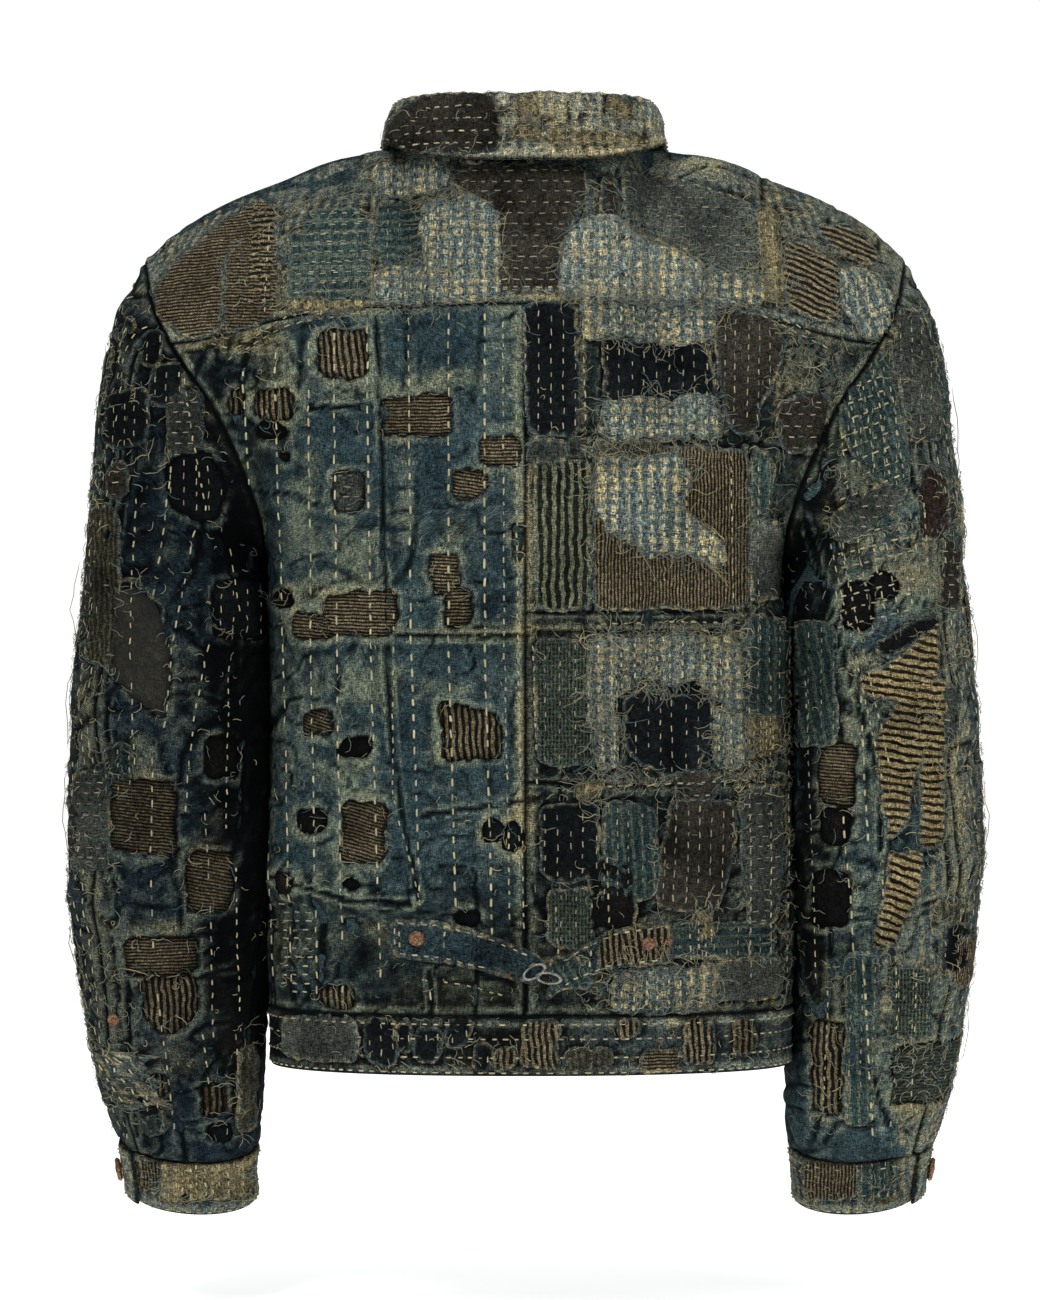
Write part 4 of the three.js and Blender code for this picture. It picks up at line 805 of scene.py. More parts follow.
# Cuffs, each with a tab end that stands off the cuff.
cuff = {"top": (281, -671.5, 185, -677.5, 25, 45.5, 14), "bottom": (276, -709, 187, -715, 34, 43, 14),
        "tabEnd": 42, "lap": 24, "wall": 2.6, "flat": (0.316, 0.039), "area": 0.0118}
for side, word in ((-1, "left"), (1, "right")):
    share, down = np.meshgrid(np.linspace(0, 1, 150), np.linspace(1, 0, 17), indexing="ij")
    angle = np.radians(cuff["tabEnd"] - (360 + cuff["lap"]) * share)
    down = down[..., None]
    p = section(cuff["top"], angle) * (1 - down) + section(cuff["bottom"], angle) * down
    middle = section(cuff["top"], np.array([0, np.pi])).mean(0)
    out = unit((p - middle) * [1, 1, 0])
    p = (p + out * (5 * ease(1 - share, 0.82, 1))[..., None]) * [side, 1, 1]
    settings = {k: cuff[k] for k in ("wall", "flat", "area")}
    settings.update({"wrinkle": 0.5, "fray": 0.45, "tan": 0.22 if side < 0 else 0.08, "seams": "abcd"})
    addPanel(f"cuff_{word}", p, word + "Cuff", settings, middle * [side, 1, 1])

# Collar: up from the neckline, over the fold and down again as the leaf.
collar = {
    "neck": [[0, -62, 2], [42, -55, 5], [72, -30, 10], [82, 5, 11], [79, 34, 1], [59, 63, -24],
             [29, 80, -47], [3, 86, -53]],
    "fold": [[0, -60, 43], [46, -54, 43.5], [77, -30, 43], [85, 6, 37], [79, 38, 20], [54, 66, -5],
             [4, 87, -25]],
    "leaf": [[0, -84, -3], [54, -78, -1], [87, -46, 8], [98, 3, 15], [99, 44, -4], [90, 84, -46],
             [46, 112, -94], [6, 98, -44]],
    "wall": clothWall, "flat": (0.695, 0.112), "area": 0.0441, "wrinkle": 0.7, "fray": 0.75, "tan": 0.42,
    "seams": "abd",
}
way = np.linspace(-1, 1, 171)
share = np.abs(way)
side = np.where(way < 0, -1, 1)[:, None] * [1, 0, 0] + [0, 1, 1]
neck, fold = lineThrough(collar["neck"])(share), lineThrough(collar["fold"])(share)
leaf = lineThrough(collar["leaf"])(share * 0.86)
out = unit((leaf - neck) * [1, 1, 0])
up = np.array([0, 0, 1])
outFold = fold + out * 8.16 - up * 1.2
rows = [neck + up * 0.3, neck * 0.45 + fold * 0.55, fold - out * 0.68, fold + out * 3.4 + up * 1.8, outFold,
        (outFold + leaf) / 2 + out * 1.5, leaf]
p = throughPoints(np.array(rows), np.linspace(0, 1, 40)).transpose(1, 0, 2) * side[:, None]
if np.sum(gridNormals(p)[40:130, -6:, 1]) > 0:  # the leaf's back faces -Y
    p = p[::-1]
addPanel("collar", p, "collar", collar, p - gridNormals(p))
print("stage 2:", len(panels), "panels shaped,", len(outlines), "small rags cut")


# Meshes are made in metres, closed, with a "weave" UV in metres and a colour on each point that holds fade,
# tan, painted shade with some uneven darkening, and fray.
def newPiece(name, points, faces, uv, wear, materials, materialOf=None):
    mesh = bpy.data.meshes.new(name)
    mesh.from_pydata((np.asarray(points) / 1000).tolist(), [], faces)
    corners = np.zeros(len(mesh.loops), np.int32)
    mesh.loops.foreach_get("vertex_index", corners)
    mesh.uv_layers.new(name="weave").data.foreach_set("uv", (np.asarray(uv)[corners] / 1000).ravel())
    mesh.attributes.new("wear", "FLOAT_COLOR", "POINT").data.foreach_set("color", np.asarray(wear).ravel())
    for material in materials:
        mesh.materials.append(bpy.data.materials.get(material) or bpy.data.materials.new(material))
    if materialOf is not None:
        mesh.polygons.foreach_set("material_index", np.asarray(materialOf, np.int32))
    mesh.polygons.foreach_set("use_smooth", np.full(len(mesh.polygons), True))
    mesh.update()
    piece = bpy.data.objects.new(name, mesh)
    bpy.context.scene.collection.objects.link(piece)
    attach(piece, "root")
    return piece


innerStep = 4  # the inner grid takes every fourth point
innerWearAndShade = [0.35, 0.1, 0.15, 0.0]


def panelPiece(name, panel, material):
    outer, inner = panel["points"], panel["inner"]
    rows, columns = outer.shape[:2]
    ii, jj = (np.unique(np.r_[np.arange(0, size - 1, innerStep), size - 1]) for size in (rows, columns))
    index = np.arange(rows * columns).reshape(rows, columns)
    back = rows * columns + np.arange(len(ii) * len(jj)).reshape(len(ii), len(jj))
    faces = quadsOf(index).tolist() + quadsOf(back)[:, ::-1].tolist()
    for a in range(len(ii) - 1):  # the rim
        run = list(range(ii[a], ii[a + 1] + 1))
        faces.append([int(index[i, 0]) for i in run[::-1]] + [int(back[a, 0]), int(back[a + 1, 0])])
        faces.append([int(index[i, -1]) for i in run] + [int(back[a + 1, -1]), int(back[a, -1])])
    for b in range(len(jj) - 1):
        run = list(range(jj[b], jj[b + 1] + 1))
        faces.append([int(index[0, j]) for j in run] + [int(back[0, b + 1]), int(back[0, b])])
        faces.append([int(index[-1, j]) for j in run[::-1]] + [int(back[-1, b]), int(back[-1, b + 1])])
    points = np.vstack([flat(outer), flat(inner[np.ix_(ii, jj)])])
    uv = np.vstack([flat(panel["uv"]), flat(panel["uv"][np.ix_(ii, jj)])])
    wear = np.vstack([flat(panel["wear"]), np.tile(innerWearAndShade, (back.size, 1))])
    return newPiece(name, points, faces, uv, wear, [material])


def treeOf(surfaces):
    points, faces, start = [], [], 0
    for verts, polygons in surfaces:
        points += verts.tolist()
        faces += (np.asarray(polygons) + start).tolist()
        start += len(verts)
    return BVHTree.FromPolygons(points, faces)


def gridSurface(panel):
    rows, columns = panel["points"].shape[:2]
    quads = quadsOf(np.arange(rows * columns).reshape(rows, columns))
    return flat(panel["points"]), np.vstack([quads[:, :3], quads[:, [0, 2, 3]]])


surfaces = {}  # tree: the points and triangles that a ray can meet
for name, panel in panels.items():
    surfaces.setdefault(panel["tree"], []).append(gridSurface(panel))
trees = {key: treeOf(group) for key, group in surfaces.items()}
viewRays = {"back": (0, -700, 1), "front": (0, 700, -1), "left": (1, -700, 1), "right": (1, 700, -1)}


def touch(tree, view, a, b):  # the cloth's outer face at a place seen from one side
    sideways, away, sign = viewRays[view]
    origin = Vector((away, a, b) if sideways else (a, away, b))
    aim = Vector((sign, 0, 0) if sideways else (0, sign, 0))
    point, normal, _, _ = trees[tree].ray_cast(origin, aim)
    if point is None:
        return None
    return np.array(point), np.array(normal if normal.dot(aim) < 0 else -normal)


def ragMesh(item, lift, wall, spacing=3.1, seed=0):  # a closed thin piece laid on the cloth
    line = item["line"]
    low, high = line.min(0), line.max(0)
    draw = np.random.default_rng(900 + seed)
    gx, gz = np.meshgrid(*(np.arange(low[k], high[k], spacing) for k in (0, 1)), indexing="ij")
    inner = np.stack([gx.ravel(), gz.ravel()], 1) + draw.uniform(-0.7, 0.7, (gx.size, 2))
    inner = inner[insideBy(line, inner[:, 0], inner[:, 1]) > 1.5]
    points = np.vstack([line, inner])
    edges = [(k, (k + 1) % len(line)) for k in range(len(line))]
    found, _, triangles, _, _, _ = delaunay_2d_cdt([Vector(q) for q in points], edges, [], 1, 0.01)
    plane = np.array([(q.x, q.y) for q in found])
    tops, normals, keep = [], [], np.ones(len(plane), bool)
    for k, (a, b) in enumerate(plane):
        hit = touch(item["tree"], item["view"], a, b)
        keep[k] = hit is not None
        tops.append(hit[0] if hit else np.zeros(3))
        normals.append(hit[1] if hit else np.zeros(3))
    tops, normals = np.array(tops), np.array(normals)
    depth = insideBy(line, plane[:, 0], plane[:, 1])
    body = 1 - np.exp(-np.maximum(depth, 0) / 1.2)
    bumps = 0.9 * (softNoise(plane, 6, seed) - 0.5) + 0.5 * (softNoise(plane, 3, seed + 3) - 0.5)
    raised = tops + normals * (lift * (0.35 + 0.65 * body) + bumps * body)[:, None]
    span = lambda a, b: np.linalg.norm(tops[a] - tops[b])
    whole = (t for t in triangles if all(keep[v] for v in t))
    faces = [t for t in whole if max(span(t[0], t[1]), span(t[1], t[2])) < 26]
    if len(faces) < 4:
        return None
    faces = np.array(faces)
    corner = raised[faces]
    across = np.cross(corner[:, 1] - corner[:, 0], corner[:, 2] - corner[:, 0])
    turned = np.sum(across * normals[faces[:, 0]], 1) < 0
    faces[turned] = faces[turned][:, ::-1]
    used, faces = np.unique(faces, return_inverse=True)
    faces = faces.reshape(-1, 3)
    top, n, plane, depth = raised[used], normals[used], plane[used], depth[used]
    under = top - n * wall
    count = len(used)
    halfEdges = np.vstack([faces[:, [0, 1]], faces[:, [1, 2]], faces[:, [2, 0]]])
    both = {(a, b) for a, b in halfEdges.tolist()}
    rim = sorted((a, b) for a, b in both if (b, a) not in both)
    polygons = faces.tolist() + (faces[:, ::-1] + count).tolist()
    polygons += [[b, a, a + count, b + count] for a, b in rim]
    turn = math.radians(item["turn"])
    uv = np.stack([plane[:, 0] * math.cos(turn) + plane[:, 1] * math.sin(turn),
                   plane[:, 1] * math.cos(turn) - plane[:, 0] * math.sin(turn)], 1)
    edge = np.exp(-depth / (2.4 if isLoose(item["kind"]) else 1.5))
    noise = softNoise(plane, 12, seed + 5)
    fade = np.clip(0.1 + 0.4 * edge + 0.6 * (noise - 0.5), 0, 1)
    tan = np.clip(0.2 * edge + 0.5 * (softNoise(plane, 17, seed + 6) - 0.55), 0, 1)
    shadow = 0.8 * np.exp(-depth / 1.7) if item["how"] == "under" else 0
    # The rag's darkening is painted shade: a set amount for each group, more on the body's left side beside
    # the arm and further down, as on the cloth beneath.
    outward, down = -line.mean(0)
    lower = float(0.22 * ease(down, 95, 105) + 0.2 * ease(down, 300, 340))
    darkening = ragShade.get(item["tree"], -0.1 + float(0.2 * ease(outward, 140, 170)) + lower)
    darkening = ragShade["strap"] if item["kind"] == "strap" else darkening
    shade = np.clip(darkening + 0.5 * (softNoise(plane, 22, seed + 7) - 0.5) + shadow, 0, 1)
    wear = np.stack([fade, tan, shade, np.clip(edge * (0.2 if item["how"] == "under" else 0.8), 0, 1)], -1)
    upper = np.cross(top[faces][:, 1] - top[faces][:, 0], top[faces][:, 2] - top[faces][:, 0])
    return dict(points=np.vstack([top, under]), faces=polygons, uv=np.vstack([uv, uv]), top=(top, faces),
                wear=np.vstack([wear, wear]), area=np.linalg.norm(upper, axis=1).sum() / 2e6)


def joined(parts):
    start, faces = 0, []
    for part in parts:
        faces += [[v + start for v in f] for f in part["faces"]]
        start += len(part["points"])
    gather = lambda key: np.vstack([part[key] for part in parts])
    return gather("points"), faces, gather("uv"), gather("wear")


ragShade = {"strap": 0.35, "leftSleeve": 0.5, "leftCuff": 0.2, "band": 0.35, "collar": 0.3,
            "rightSleeve": 0.2}
ragLift = {"over": 2.6, "under": 1.5, "on": 1.0}  # a rag in a hole starts from the hollow's floor
ragWall = {"under": 0.9, "on": 1.1, "over": 1.2}
madeRags = {}  # group or node: its outlines and meshes
for k, item in enumerate(outlines):
    lift = ragLift[item["how"]] + (0.5 if item["kind"] in webKinds else 0)
    part = ragMesh(item, lift, ragWall[item["how"]], seed=k)
    if part:
        madeRags.setdefault(item["group"], []).append((item, part))
for k, (node, item) in enumerate(bigOutlines.items()):
    madeRags[node] = [(item, ragMesh(item, 1.1, 1.2, seed=300 + k))]
for item, part in (pair for found in madeRags.values() for pair in found):
    surfaces[item["tree"]].append(part["top"])
trees = {key: treeOf(group) for key, group in surfaces.items()}  # stitches and threads lie on the rags too
print("stage 3:", sum(len(v) for v in madeRags.values()), "rags laid")


# Cinch straps: two tongues across the small of the back, meeting at a bent wire hook.
straps = {
    "cinch_strap_left": {"line": [(-91, -512), (-72, -512), (-56, -513), (-40, -517), (-25, -522), (-6, -529),
                                  (14, -539), (12, -548), (7, -556), (-6, -553), (-19, -549), (-36, -545),
                                  (-53, -542), (-72, -540), (-89, -538), (-91, -525)],
                         "flat": (0.028, 0.112), "area": 0.0028, "material": "boro", "slot": "denim"},
    "cinch_strap_right": {"line": [(12, -568), (15, -556), (20, -543), (40, -528), (60, -519), (80, -514),
                                   (98, -513), (99, -528), (98, -542), (76, -544), (54, -546), (42, -550),
                                   (30, -556), (20, -562)],
                          "flat": (0.03, 0.103), "area": 0.0026, "material": "boro", "slot": "boro"},
}
for k, (name, strap) in enumerate(straps.items()):
    item = dict(tree="body", view="back", kind="strap", how="on", turn=0,
                line=ragged(outlineOf(strap["line"]), 0.25, 500 + k))
    strap["part"] = ragMesh(item, 5.8, 4.2, spacing=2.2, seed=500 + k)
    surfaces["body"].append(strap["part"]["top"])
madeRags["straps"] = []
for k, (kind, shape, turn) in enumerate([
        ("ticking", [(50, -521), (62, -518), (98, -515), (97, -540), (56, -545), (48, -548), (46, -532)], 6),
        ("teal", (16, -560, 44, -536), 30), ("shadow", (-13, -552, -4, -546), 0)]):
    trees["body"] = treeOf(surfaces["body"])
    item = dict(tree="body", view="back", kind=kind, how="on", turn=turn,
                line=ragged(outlineOf(shape), 0.5, 520 + k))
    part = ragMesh(item, 0.9, 1, spacing=2.4, seed=520 + k)
    madeRags["straps"].append((item, part))
    surfaces["body"].append(part["top"])
trees["body"] = treeOf(surfaces["body"])


# Running stitches: short spindles of thread, and loose threads: thin curled tubes.
def stitchMesh(starts, ends, normals, width):  # points, faces, and the points of each stitch
    starts, ends, normals = (np.array(v, float) for v in (starts, ends, normals))
    along = ends - starts
    length = np.linalg.norm(along, axis=1, keepdims=True)
    along = unit(along)
    across = unit(np.cross(normals, along))
    half = np.asarray(width, float).reshape(-1, 1) / 2
    rings = [starts - normals * 0.3]
    for share in (0.18, 0.82):
        middle = starts + along * length * share + normals * 0.25
        for c, s in ((1, 0), (0, 1), (-1, 0), (0, -1)):
            rings.append(middle + across * half * c + normals * half * 0.8 * s)
    rings.append(ends - normals * 0.3)
    points = np.stack(rings, 1)
    one = []
    for k in range(4):
        m = (k + 1) % 4
        one += [[0, 1 + m, 1 + k], [1 + k, 1 + m, 5 + m], [1 + k, 5 + m, 5 + k], [9, 5 + k, 5 + m]]
    faces = (np.arange(len(points))[:, None, None] * 10 + np.array(one)[None]).reshape(-1, 3)
    return points.reshape(-1, 3), faces[:, ::-1].tolist(), len(rings)


def threadMesh(paths, radius):
    paths = np.array(paths, float)
    count, steps = paths.shape[:2]
    along = unit(np.gradient(paths, axis=1))
    helper = np.where(np.abs(along[..., 2:]) < 0.8, [[[0, 0, 1.0]]], [[[0, 1.0, 0]]])
    u = unit(np.cross(along, helper))
    v = np.cross(along, u)
    radius = np.asarray(radius).reshape(-1, 1, 1)
    ring = np.stack([paths[:, 1:-1] + (u[:, 1:-1] * math.cos(t) + v[:, 1:-1] * math.sin(t)) * radius
                     for t in (0, 2.094, 4.189)], 2)
    points = np.concatenate([paths[:, :1], ring.reshape(count, -1, 3), paths[:, -1:]], 1)
    one, last = [], 3 * (steps - 2) + 1
    for k in range(3):
        m = (k + 1) % 3
        one += [[0, 1 + m, 1 + k], [last, last - 3 + k, last - 3 + m]]
        for r in range(steps - 3):
            a, b = 1 + 3 * r, 4 + 3 * r
            one += [[a + k, a + m, b + m], [a + k, b + m, b + k]]
    faces = (np.arange(count)[:, None, None] * (last + 1) + np.array(one)[None]).reshape(-1, 3)
    return points.reshape(-1, 3), faces[:, ::-1].tolist(), last + 1


stitches = {}  # group: [starts, ends, normals, widths, tones]
threads = {}  # group: [paths, radii, tones]
missedShare, stitchWander = 0.06, 0.25
threadSteps = 8  # every thread has as many points


def keep(store, group, *values):
    for kept, value in zip(store.setdefault(group, [[] for _ in values]), values):
        kept.append(value)


def sew(group, total, ends, run, gap, width, tone):  # a row; ends gives a stitch's two ends and normal
    at = rng.uniform(0, run)
    while at + run < total:
        length = run * rng.uniform(0.75, 1.2)
        if rng.random() > missedShare:
            found = ends(at, length)
            if found:
                bright = np.clip(tone + rng.normal() * 0.16, 0, 1)
                keep(stitches, group, *found, width * rng.uniform(0.8, 1.2), bright)
        at += length + gap * rng.uniform(0.8, 1.25)


def sewRow(group, tree, view, line, **kind):  # along a line seen from one side
    line = np.array(line, float)
    arc = arcOf(line)

    def ends(at, length):
        found = []
        for t in (at, at + length):
            place = [np.interp(t, arc, line[:, k]) + rng.normal() * stitchWander for k in (0, 1)]
            hit = touch(tree, view, *place)
            if hit is None:
                return None
            found.append(hit)
        (start, n0), (end, n1) = found
        return (start, end, unit(n0 + n1)) if np.linalg.norm(start - end) < length * 2.2 else None

    sew(group, arc[-1], ends, **kind)


def sewLine(group, points, normals, **kind):  # along a panel's own line
    arc = arcOf(points)
    read = lambda t, q: np.array([np.interp(t, arc, q[:, k]) for k in range(3)])

    def ends(at, length):
        return read(at, points), read(at + length, points), unit(read(at + length / 2, normals))

    sew(group, arc[-1], ends, **kind)


def sewArea(group, tree, view, line, spacing, angle=90, **kind):  # parallel rows inside an outline
    turn = math.radians(angle)
    along, across = np.array([math.cos(turn), math.sin(turn)]), np.array([-math.sin(turn), math.cos(turn)])
    centre = line.mean(0)
    reach = np.abs((line - centre) @ across).max()
    span = np.abs((line - centre) @ along).max()
    for offset in np.arange(-reach + spacing * 0.5, reach, spacing):
        t = np.arange(-span, span, 2.0)
        row = centre + across * (offset + rng.normal() * 0.4) + t[:, None] * along
        inside = insideBy(line, row[:, 0], row[:, 1]) > 1.5
        if inside.sum() > 3:
            sewRow(group, tree, view, row[inside], **kind)


def strand(group, tree, view, a, b, heading, length, curl, lift, radius, tone, steps=threadSteps):
    path, turn = [], rng.normal() * curl
    for k in range(steps):
        hit = touch(tree, view, a, b)
        if hit is None:
            return
        rise = (-0.4 if k == 0 else lift * rng.uniform(0.5, 1.3))
        path.append(hit[0] + hit[1] * rise)
        heading += turn + rng.normal() * curl
        a, b = a + math.cos(heading) * length / steps, b + math.sin(heading) * length / steps
    path = np.array(path)
    if np.linalg.norm(np.diff(path, axis=0), axis=1).max() < length:
        if steps != threadSteps:
            at = np.linspace(0, 1, threadSteps)
            path = np.stack([np.interp(at, np.linspace(0, 1, steps), path[:, k]) for k in range(3)], 1)
        keep(threads, group, path, radius, tone)


def frayEdge(group, item, every, reach, tone):  # threads along a rag's outline and out from it
    line = item["line"]
    ahead = np.roll(line, -1, 0) - line
    out = np.stack([ahead[:, 1], -ahead[:, 0]], 1)
    inwards = -1 if item["how"] == "under" else 1  # a hole's threads hang into it
    for k in range(len(line)):
        for _ in range(rng.poisson(every)):
            place = line[k] + ahead[k] * rng.random()
            along = rng.random() < 0.55
            spread, curl = (0.35, 0.22) if along else (0.8, 0.34)
            heading = math.atan2(*(ahead[k] if along else out[k] * inwards)[::-1]) + rng.normal() * spread
            place = place - out[k] / max(np.linalg.norm(out[k]), 1e-6) * inwards * rng.uniform(-0.5, 1.5)
            strand(group, item["tree"], item["view"], *place, heading, reach * rng.uniform(0.5, 1.5), curl,
                   1.5, rng.uniform(0.15, 0.27), np.clip(tone + rng.normal() * 0.3, 0, 1))


# Long rows of stitches: group, tree, lines seen from behind, and how they are sewn.
cream = {"run": 6.2, "gap": 4.4, "width": 1.4, "tone": 0.88}
dim = {"run": 5.4, "gap": 4.6, "width": 1.1, "tone": 0.68}
finer = {"run": 4.2, "gap": 3.4, "width": 1.05, "tone": 0.7}
longRows = {
    "backLeft": [([(-190, -140), (-180, -330), (-172, -560)], cream), ([(-168, -130), (-164, -330),
        (-158, -565)], cream), ([(-145, -124), (-144, -330), (-140, -570)], cream), ([(-128, -118),
        (-126, -330), (-122, -570)], cream), ([(-106, -112), (-103, -330), (-96, -570)], cream),
        ([(-78, -108), (-76, -330), (-70, -505)], cream), ([(-51, -106), (-51, -330), (-46, -512)], cream),
        ([(-27, -106), (-27, -330), (-22, -524)], cream), ([(-15, -106), (-14, -330), (-10, -520)], finer),
        ([(-6, -106), (-5, -330), (-1, -520)], finer), ([(-70, -552), (-40, -556), (-10, -564)], finer),
        ([(-64, -556), (-62, -574)], cream), ([(-88, -300), (-88, -430), (-70, -500)], finer)],
    "backRight": [([(38, -106), (40, -190)], finer), ([(137, -200), (140, -310)], finer), ([(156, -210),
        (158, -330)], finer), ([(60, -328), (62, -424)], finer), ([(130, -326), (134, -430)], finer),
        ([(150, -330), (152, -560)], finer), ([(166, -350), (166, -560)], finer), ([(52, -424), (96, -422),
        (170, -420)], finer), ([(48, -316), (100, -314), (148, -315)], finer), ([(20, -500),
        (22, -540)], finer), ([(70, -560), (72, -574)], finer), ([(110, -520), (112, -570)], finer),
        ([(5, -330), (8, -430)], finer), ([(182, -240), (178, -560)], finer), ([(54, -470),
        (56, -516)], finer)],
    "yoke": [([(-200, -138), (-160, -114), (-60, -98), (0, -97), (100, -97), (160, -108),
        (204, -130)], finer), ([(-236, -118), (-200, -130)], finer), ([(-198, -132), (-160, -108),
        (-60, -92), (0, -91), (100, -91), (160, -102), (200, -124)], finer), ([(-175, -40),
        (-176, -112)], finer), ([(168, -34), (170, -106)], finer)],
    "leftSleeve": [([(-222, -249), (-237, -330), (-243, -394)], dim), ([(-212, -326), (-222, -373),
        (-229, -444)], dim), ([(-201, -259), (-192, -316)], dim), ([(-262, -230), (-266, -330),
        (-262, -420)], dim), ([(-249, -560), (-244, -610), (-240, -664)], dim), ([(-219, -590),
        (-216, -630)], dim), ([(-197, -590), (-196, -660)], dim), ([(-216, -440), (-212, -520),
        (-212, -600)], dim), ([(-250, -400), (-252, -470), (-250, -540)], dim), ([(-200, -340),
        (-202, -460)], finer), ([(-238, -206), (-243, -250), (-250, -300)], dim), ([(-196, -480),
        (-194, -600)], finer), ([(-230, -150), (-222, -200), (-214, -246)], finer)],
    "rightSleeve": [([(228, -543), (238, -666)], cream), ([(210, -250), (226, -330), (246, -415)], finer),
        ([(204, -250), (220, -330), (240, -420)], finer), ([(225, -360), (231, -470)], cream),
        ([(190, -330), (194, -450), (198, -560)], finer), ([(214, -440), (222, -540)], cream),
        ([(250, -535), (252, -600), (250, -660)], finer), ([(264, -540), (264, -650)], finer),
        ([(206, -560), (204, -660)], finer), ([(240, -470), (240, -530)], finer), ([(268, -230),
        (272, -300)], finer)],
    "collar": [([(-70, 34), (-30, 35)], finer), ([(-80, 26), (-22, 26)], finer), ([(-84, 17),
        (-20, 17)], finer), ([(10, 30), (70, 30)], finer), ([(12, 21), (80, 20)], finer), ([(-86, 9),
        (0, 8), (86, 9)], finer)],
    "straps": [([(-88, -515), (-56, -516), (-25, -525), (6, -538)], finer), ([(-86, -535), (-53, -538),
        (-19, -546)], finer), ([(-87, -516), (-87, -536)], finer), ([(-84, -516), (-84, -536)], finer),
        ([(-54, -517), (-54, -538)], finer), ([(22, -542), (40, -531), (60, -522), (94, -517)], finer),
        ([(18, -562), (32, -552), (54, -543), (94, -539)], finer), ([(44, -530), (42, -548)], finer)],
}
for group, rows in longRows.items():
    tree = rags[group][0] if group in rags else "body"
    for line, kind in rows:
        sewRow(group, tree, "back", line, **kind)
ladderStitch = {"run": 4.6, "gap": 8, "width": 1.5, "tone": 0.45}
sewnFields = [  # group, tree, outline, space between rows, their directions, how they are sewn
    ("rightSleeve", "rightSleeve",
     [(214, -150), (236, -120), (250, -160), (258, -222), (228, -214), (210, -240), (206, -200)], 9.5,
     (98, 22), finer),
    ("rightSleeve", "rightSleeve",
     [(206, -262), (262, -236), (270, -300), (236, -326), (206, -322)], 9.5, (100, 14), finer),
    ("collar", "collar", [(-88, 8), (-20, 8), (-20, 16), (-88, 16)], 4.2, (90,), ladderStitch),
    ("backLeft", "body", [(-170, -502), (-137, -502), (-137, -566), (-170, -566)], 6, (4,), finer),
]
for group, tree, field, spacing, angles, kind in sewnFields:
    for angle in angles:
        sewArea(group, tree, "back", np.array(field, float), spacing, angle, **kind)

# Rows on the rags: for each kind, the space between rows and their direction.
ragRows = {
    "navy": (8.4, 90, {"run": 4.6, "gap": 4.4, "width": 0.75, "tone": 0.6}),
    "charcoal": (7.2, 0, {"run": 4.4, "gap": 3.4, "width": 0.8, "tone": 0.35}),
    "brownPlain": (7.6, 0, {"run": 4.8, "gap": 3.0, "width": 0.8, "tone": 0.45}),
    **{web: (7.8, 90, {"run": 4.0, "gap": 3.0, "width": 1.35, "tone": 1.0}) for web in webKinds},
    "teal": (8, 90, {"run": 4, "gap": 4, "width": 0.8, "tone": 0.4}),
    "plaid": (7, 2, {"run": 4.4, "gap": 3.6, "width": 0.85, "tone": 0.6}),
    "check": (10, 90, {"run": 4, "gap": 5, "width": 0.8, "tone": 0.4}),
    "tanFray": (5, 90, {"run": 3.4, "gap": 2.4, "width": 1.0, "tone": 0.8}),
}
verticalNodes = ("patch_brown_top", "patch_brown_low", "patch_right_charcoal")


def groupAt(tree, a, b):  # the group that carries what is sewn at a place
    if tree == "front":
        return "leftFront" if a < 0 else "rightFront"
    if tree != "body":
        return tree
    return "yoke" if b > -100 else "backRight" if a > 0 else "backLeft"


for group, found in madeRags.items():
    for item, part in found:
        kind = item["kind"]
        target = item.get("group") or groupAt(item["tree"], 1, item["line"][:, 1].mean())
        target = "straps" if group == "straps" else target
        if kind in ragRows and group != "collar":
            spacing, angle, how = ragRows[kind]
            angle = 88 if group in verticalNodes else angle
            sewArea(target, item["tree"], item["view"], item["line"], spacing, angle, **how)
        if group != "straps":
            every, reach = (1.2, 17) if isLoose(kind) else (0.24, 11)
            frayEdge(target, item, every, reach, 0.34)

plainRags = [item for item in [*outlines, *bigOutlines.values()] if not isLoose(item["kind"])]


def onPlainRag(tree, view, a, b):  # loose threads belong to worn cloth, not to a whole patch
    for item in plainRags:
        low, high = item["line"].min(0) + 2, item["line"].max(0) - 2
        if item["tree"] == tree and item["view"] == view and low[0] < a < high[0] and low[1] < b < high[1]:
            if insideBy(item["line"], np.array([a]), np.array([b]))[0] > 2:
                return True
    return False


# Loose webs of thread over the frayed places, and odd ends everywhere.
webCount = {"body": 0.03, "leftSleeve": 0.022, "rightSleeve": 0.03, "front": 0.014}
for tree, areas in frayAreas.items():
    view = "front" if tree == "front" else "back"
    for cx, cz, hx, hz, strength in areas:
        if tree == "body" and hx > 200:  # the yoke's threads stay off its edges
            hx, hz = 210, 40
        for _ in range(int(4 * hx * hz * strength * webCount[tree])):
            a, b = cx + hx * rng.uniform(-1, 1), cz + hz * rng.uniform(-1, 1)
            if not onPlainRag(tree, view, a, b):
                strand(groupAt(tree, a, b), tree, view, a, b, rng.uniform(0, 6.28), rng.uniform(7, 22), 0.34,
                       1.4, rng.uniform(0.17, 0.3), np.clip(rng.normal(0.42, 0.3), 0, 1))
oddEnds = [  # tree, view, box as lowest and highest a, lowest and highest b, how many
    ("leftSleeve", "back", (-312, -180, -670, -90), 240), ("rightSleeve", "back", (180, 312, -670, -90), 320),
    ("leftSleeve", "left", (-80, 70, -660, -110), 380), ("rightSleeve", "right", (-80, 70, -660, -110), 380),
    ("body", "back", (-175, 175, -570, -110), 260), ("front", "front", (-170, 170, -570, -60), 300),
    ("band", "back", (-170, 170, -616, -578), 110), ("band", "front", (-170, 170, -616, -578), 120),
    ("collar", "back", (-88, 88, -2, 45), 150), ("leftCuff", "back", (-270, -190, -714, -676), 120),
    ("rightCuff", "back", (190, 270, -714, -676), 120),
]
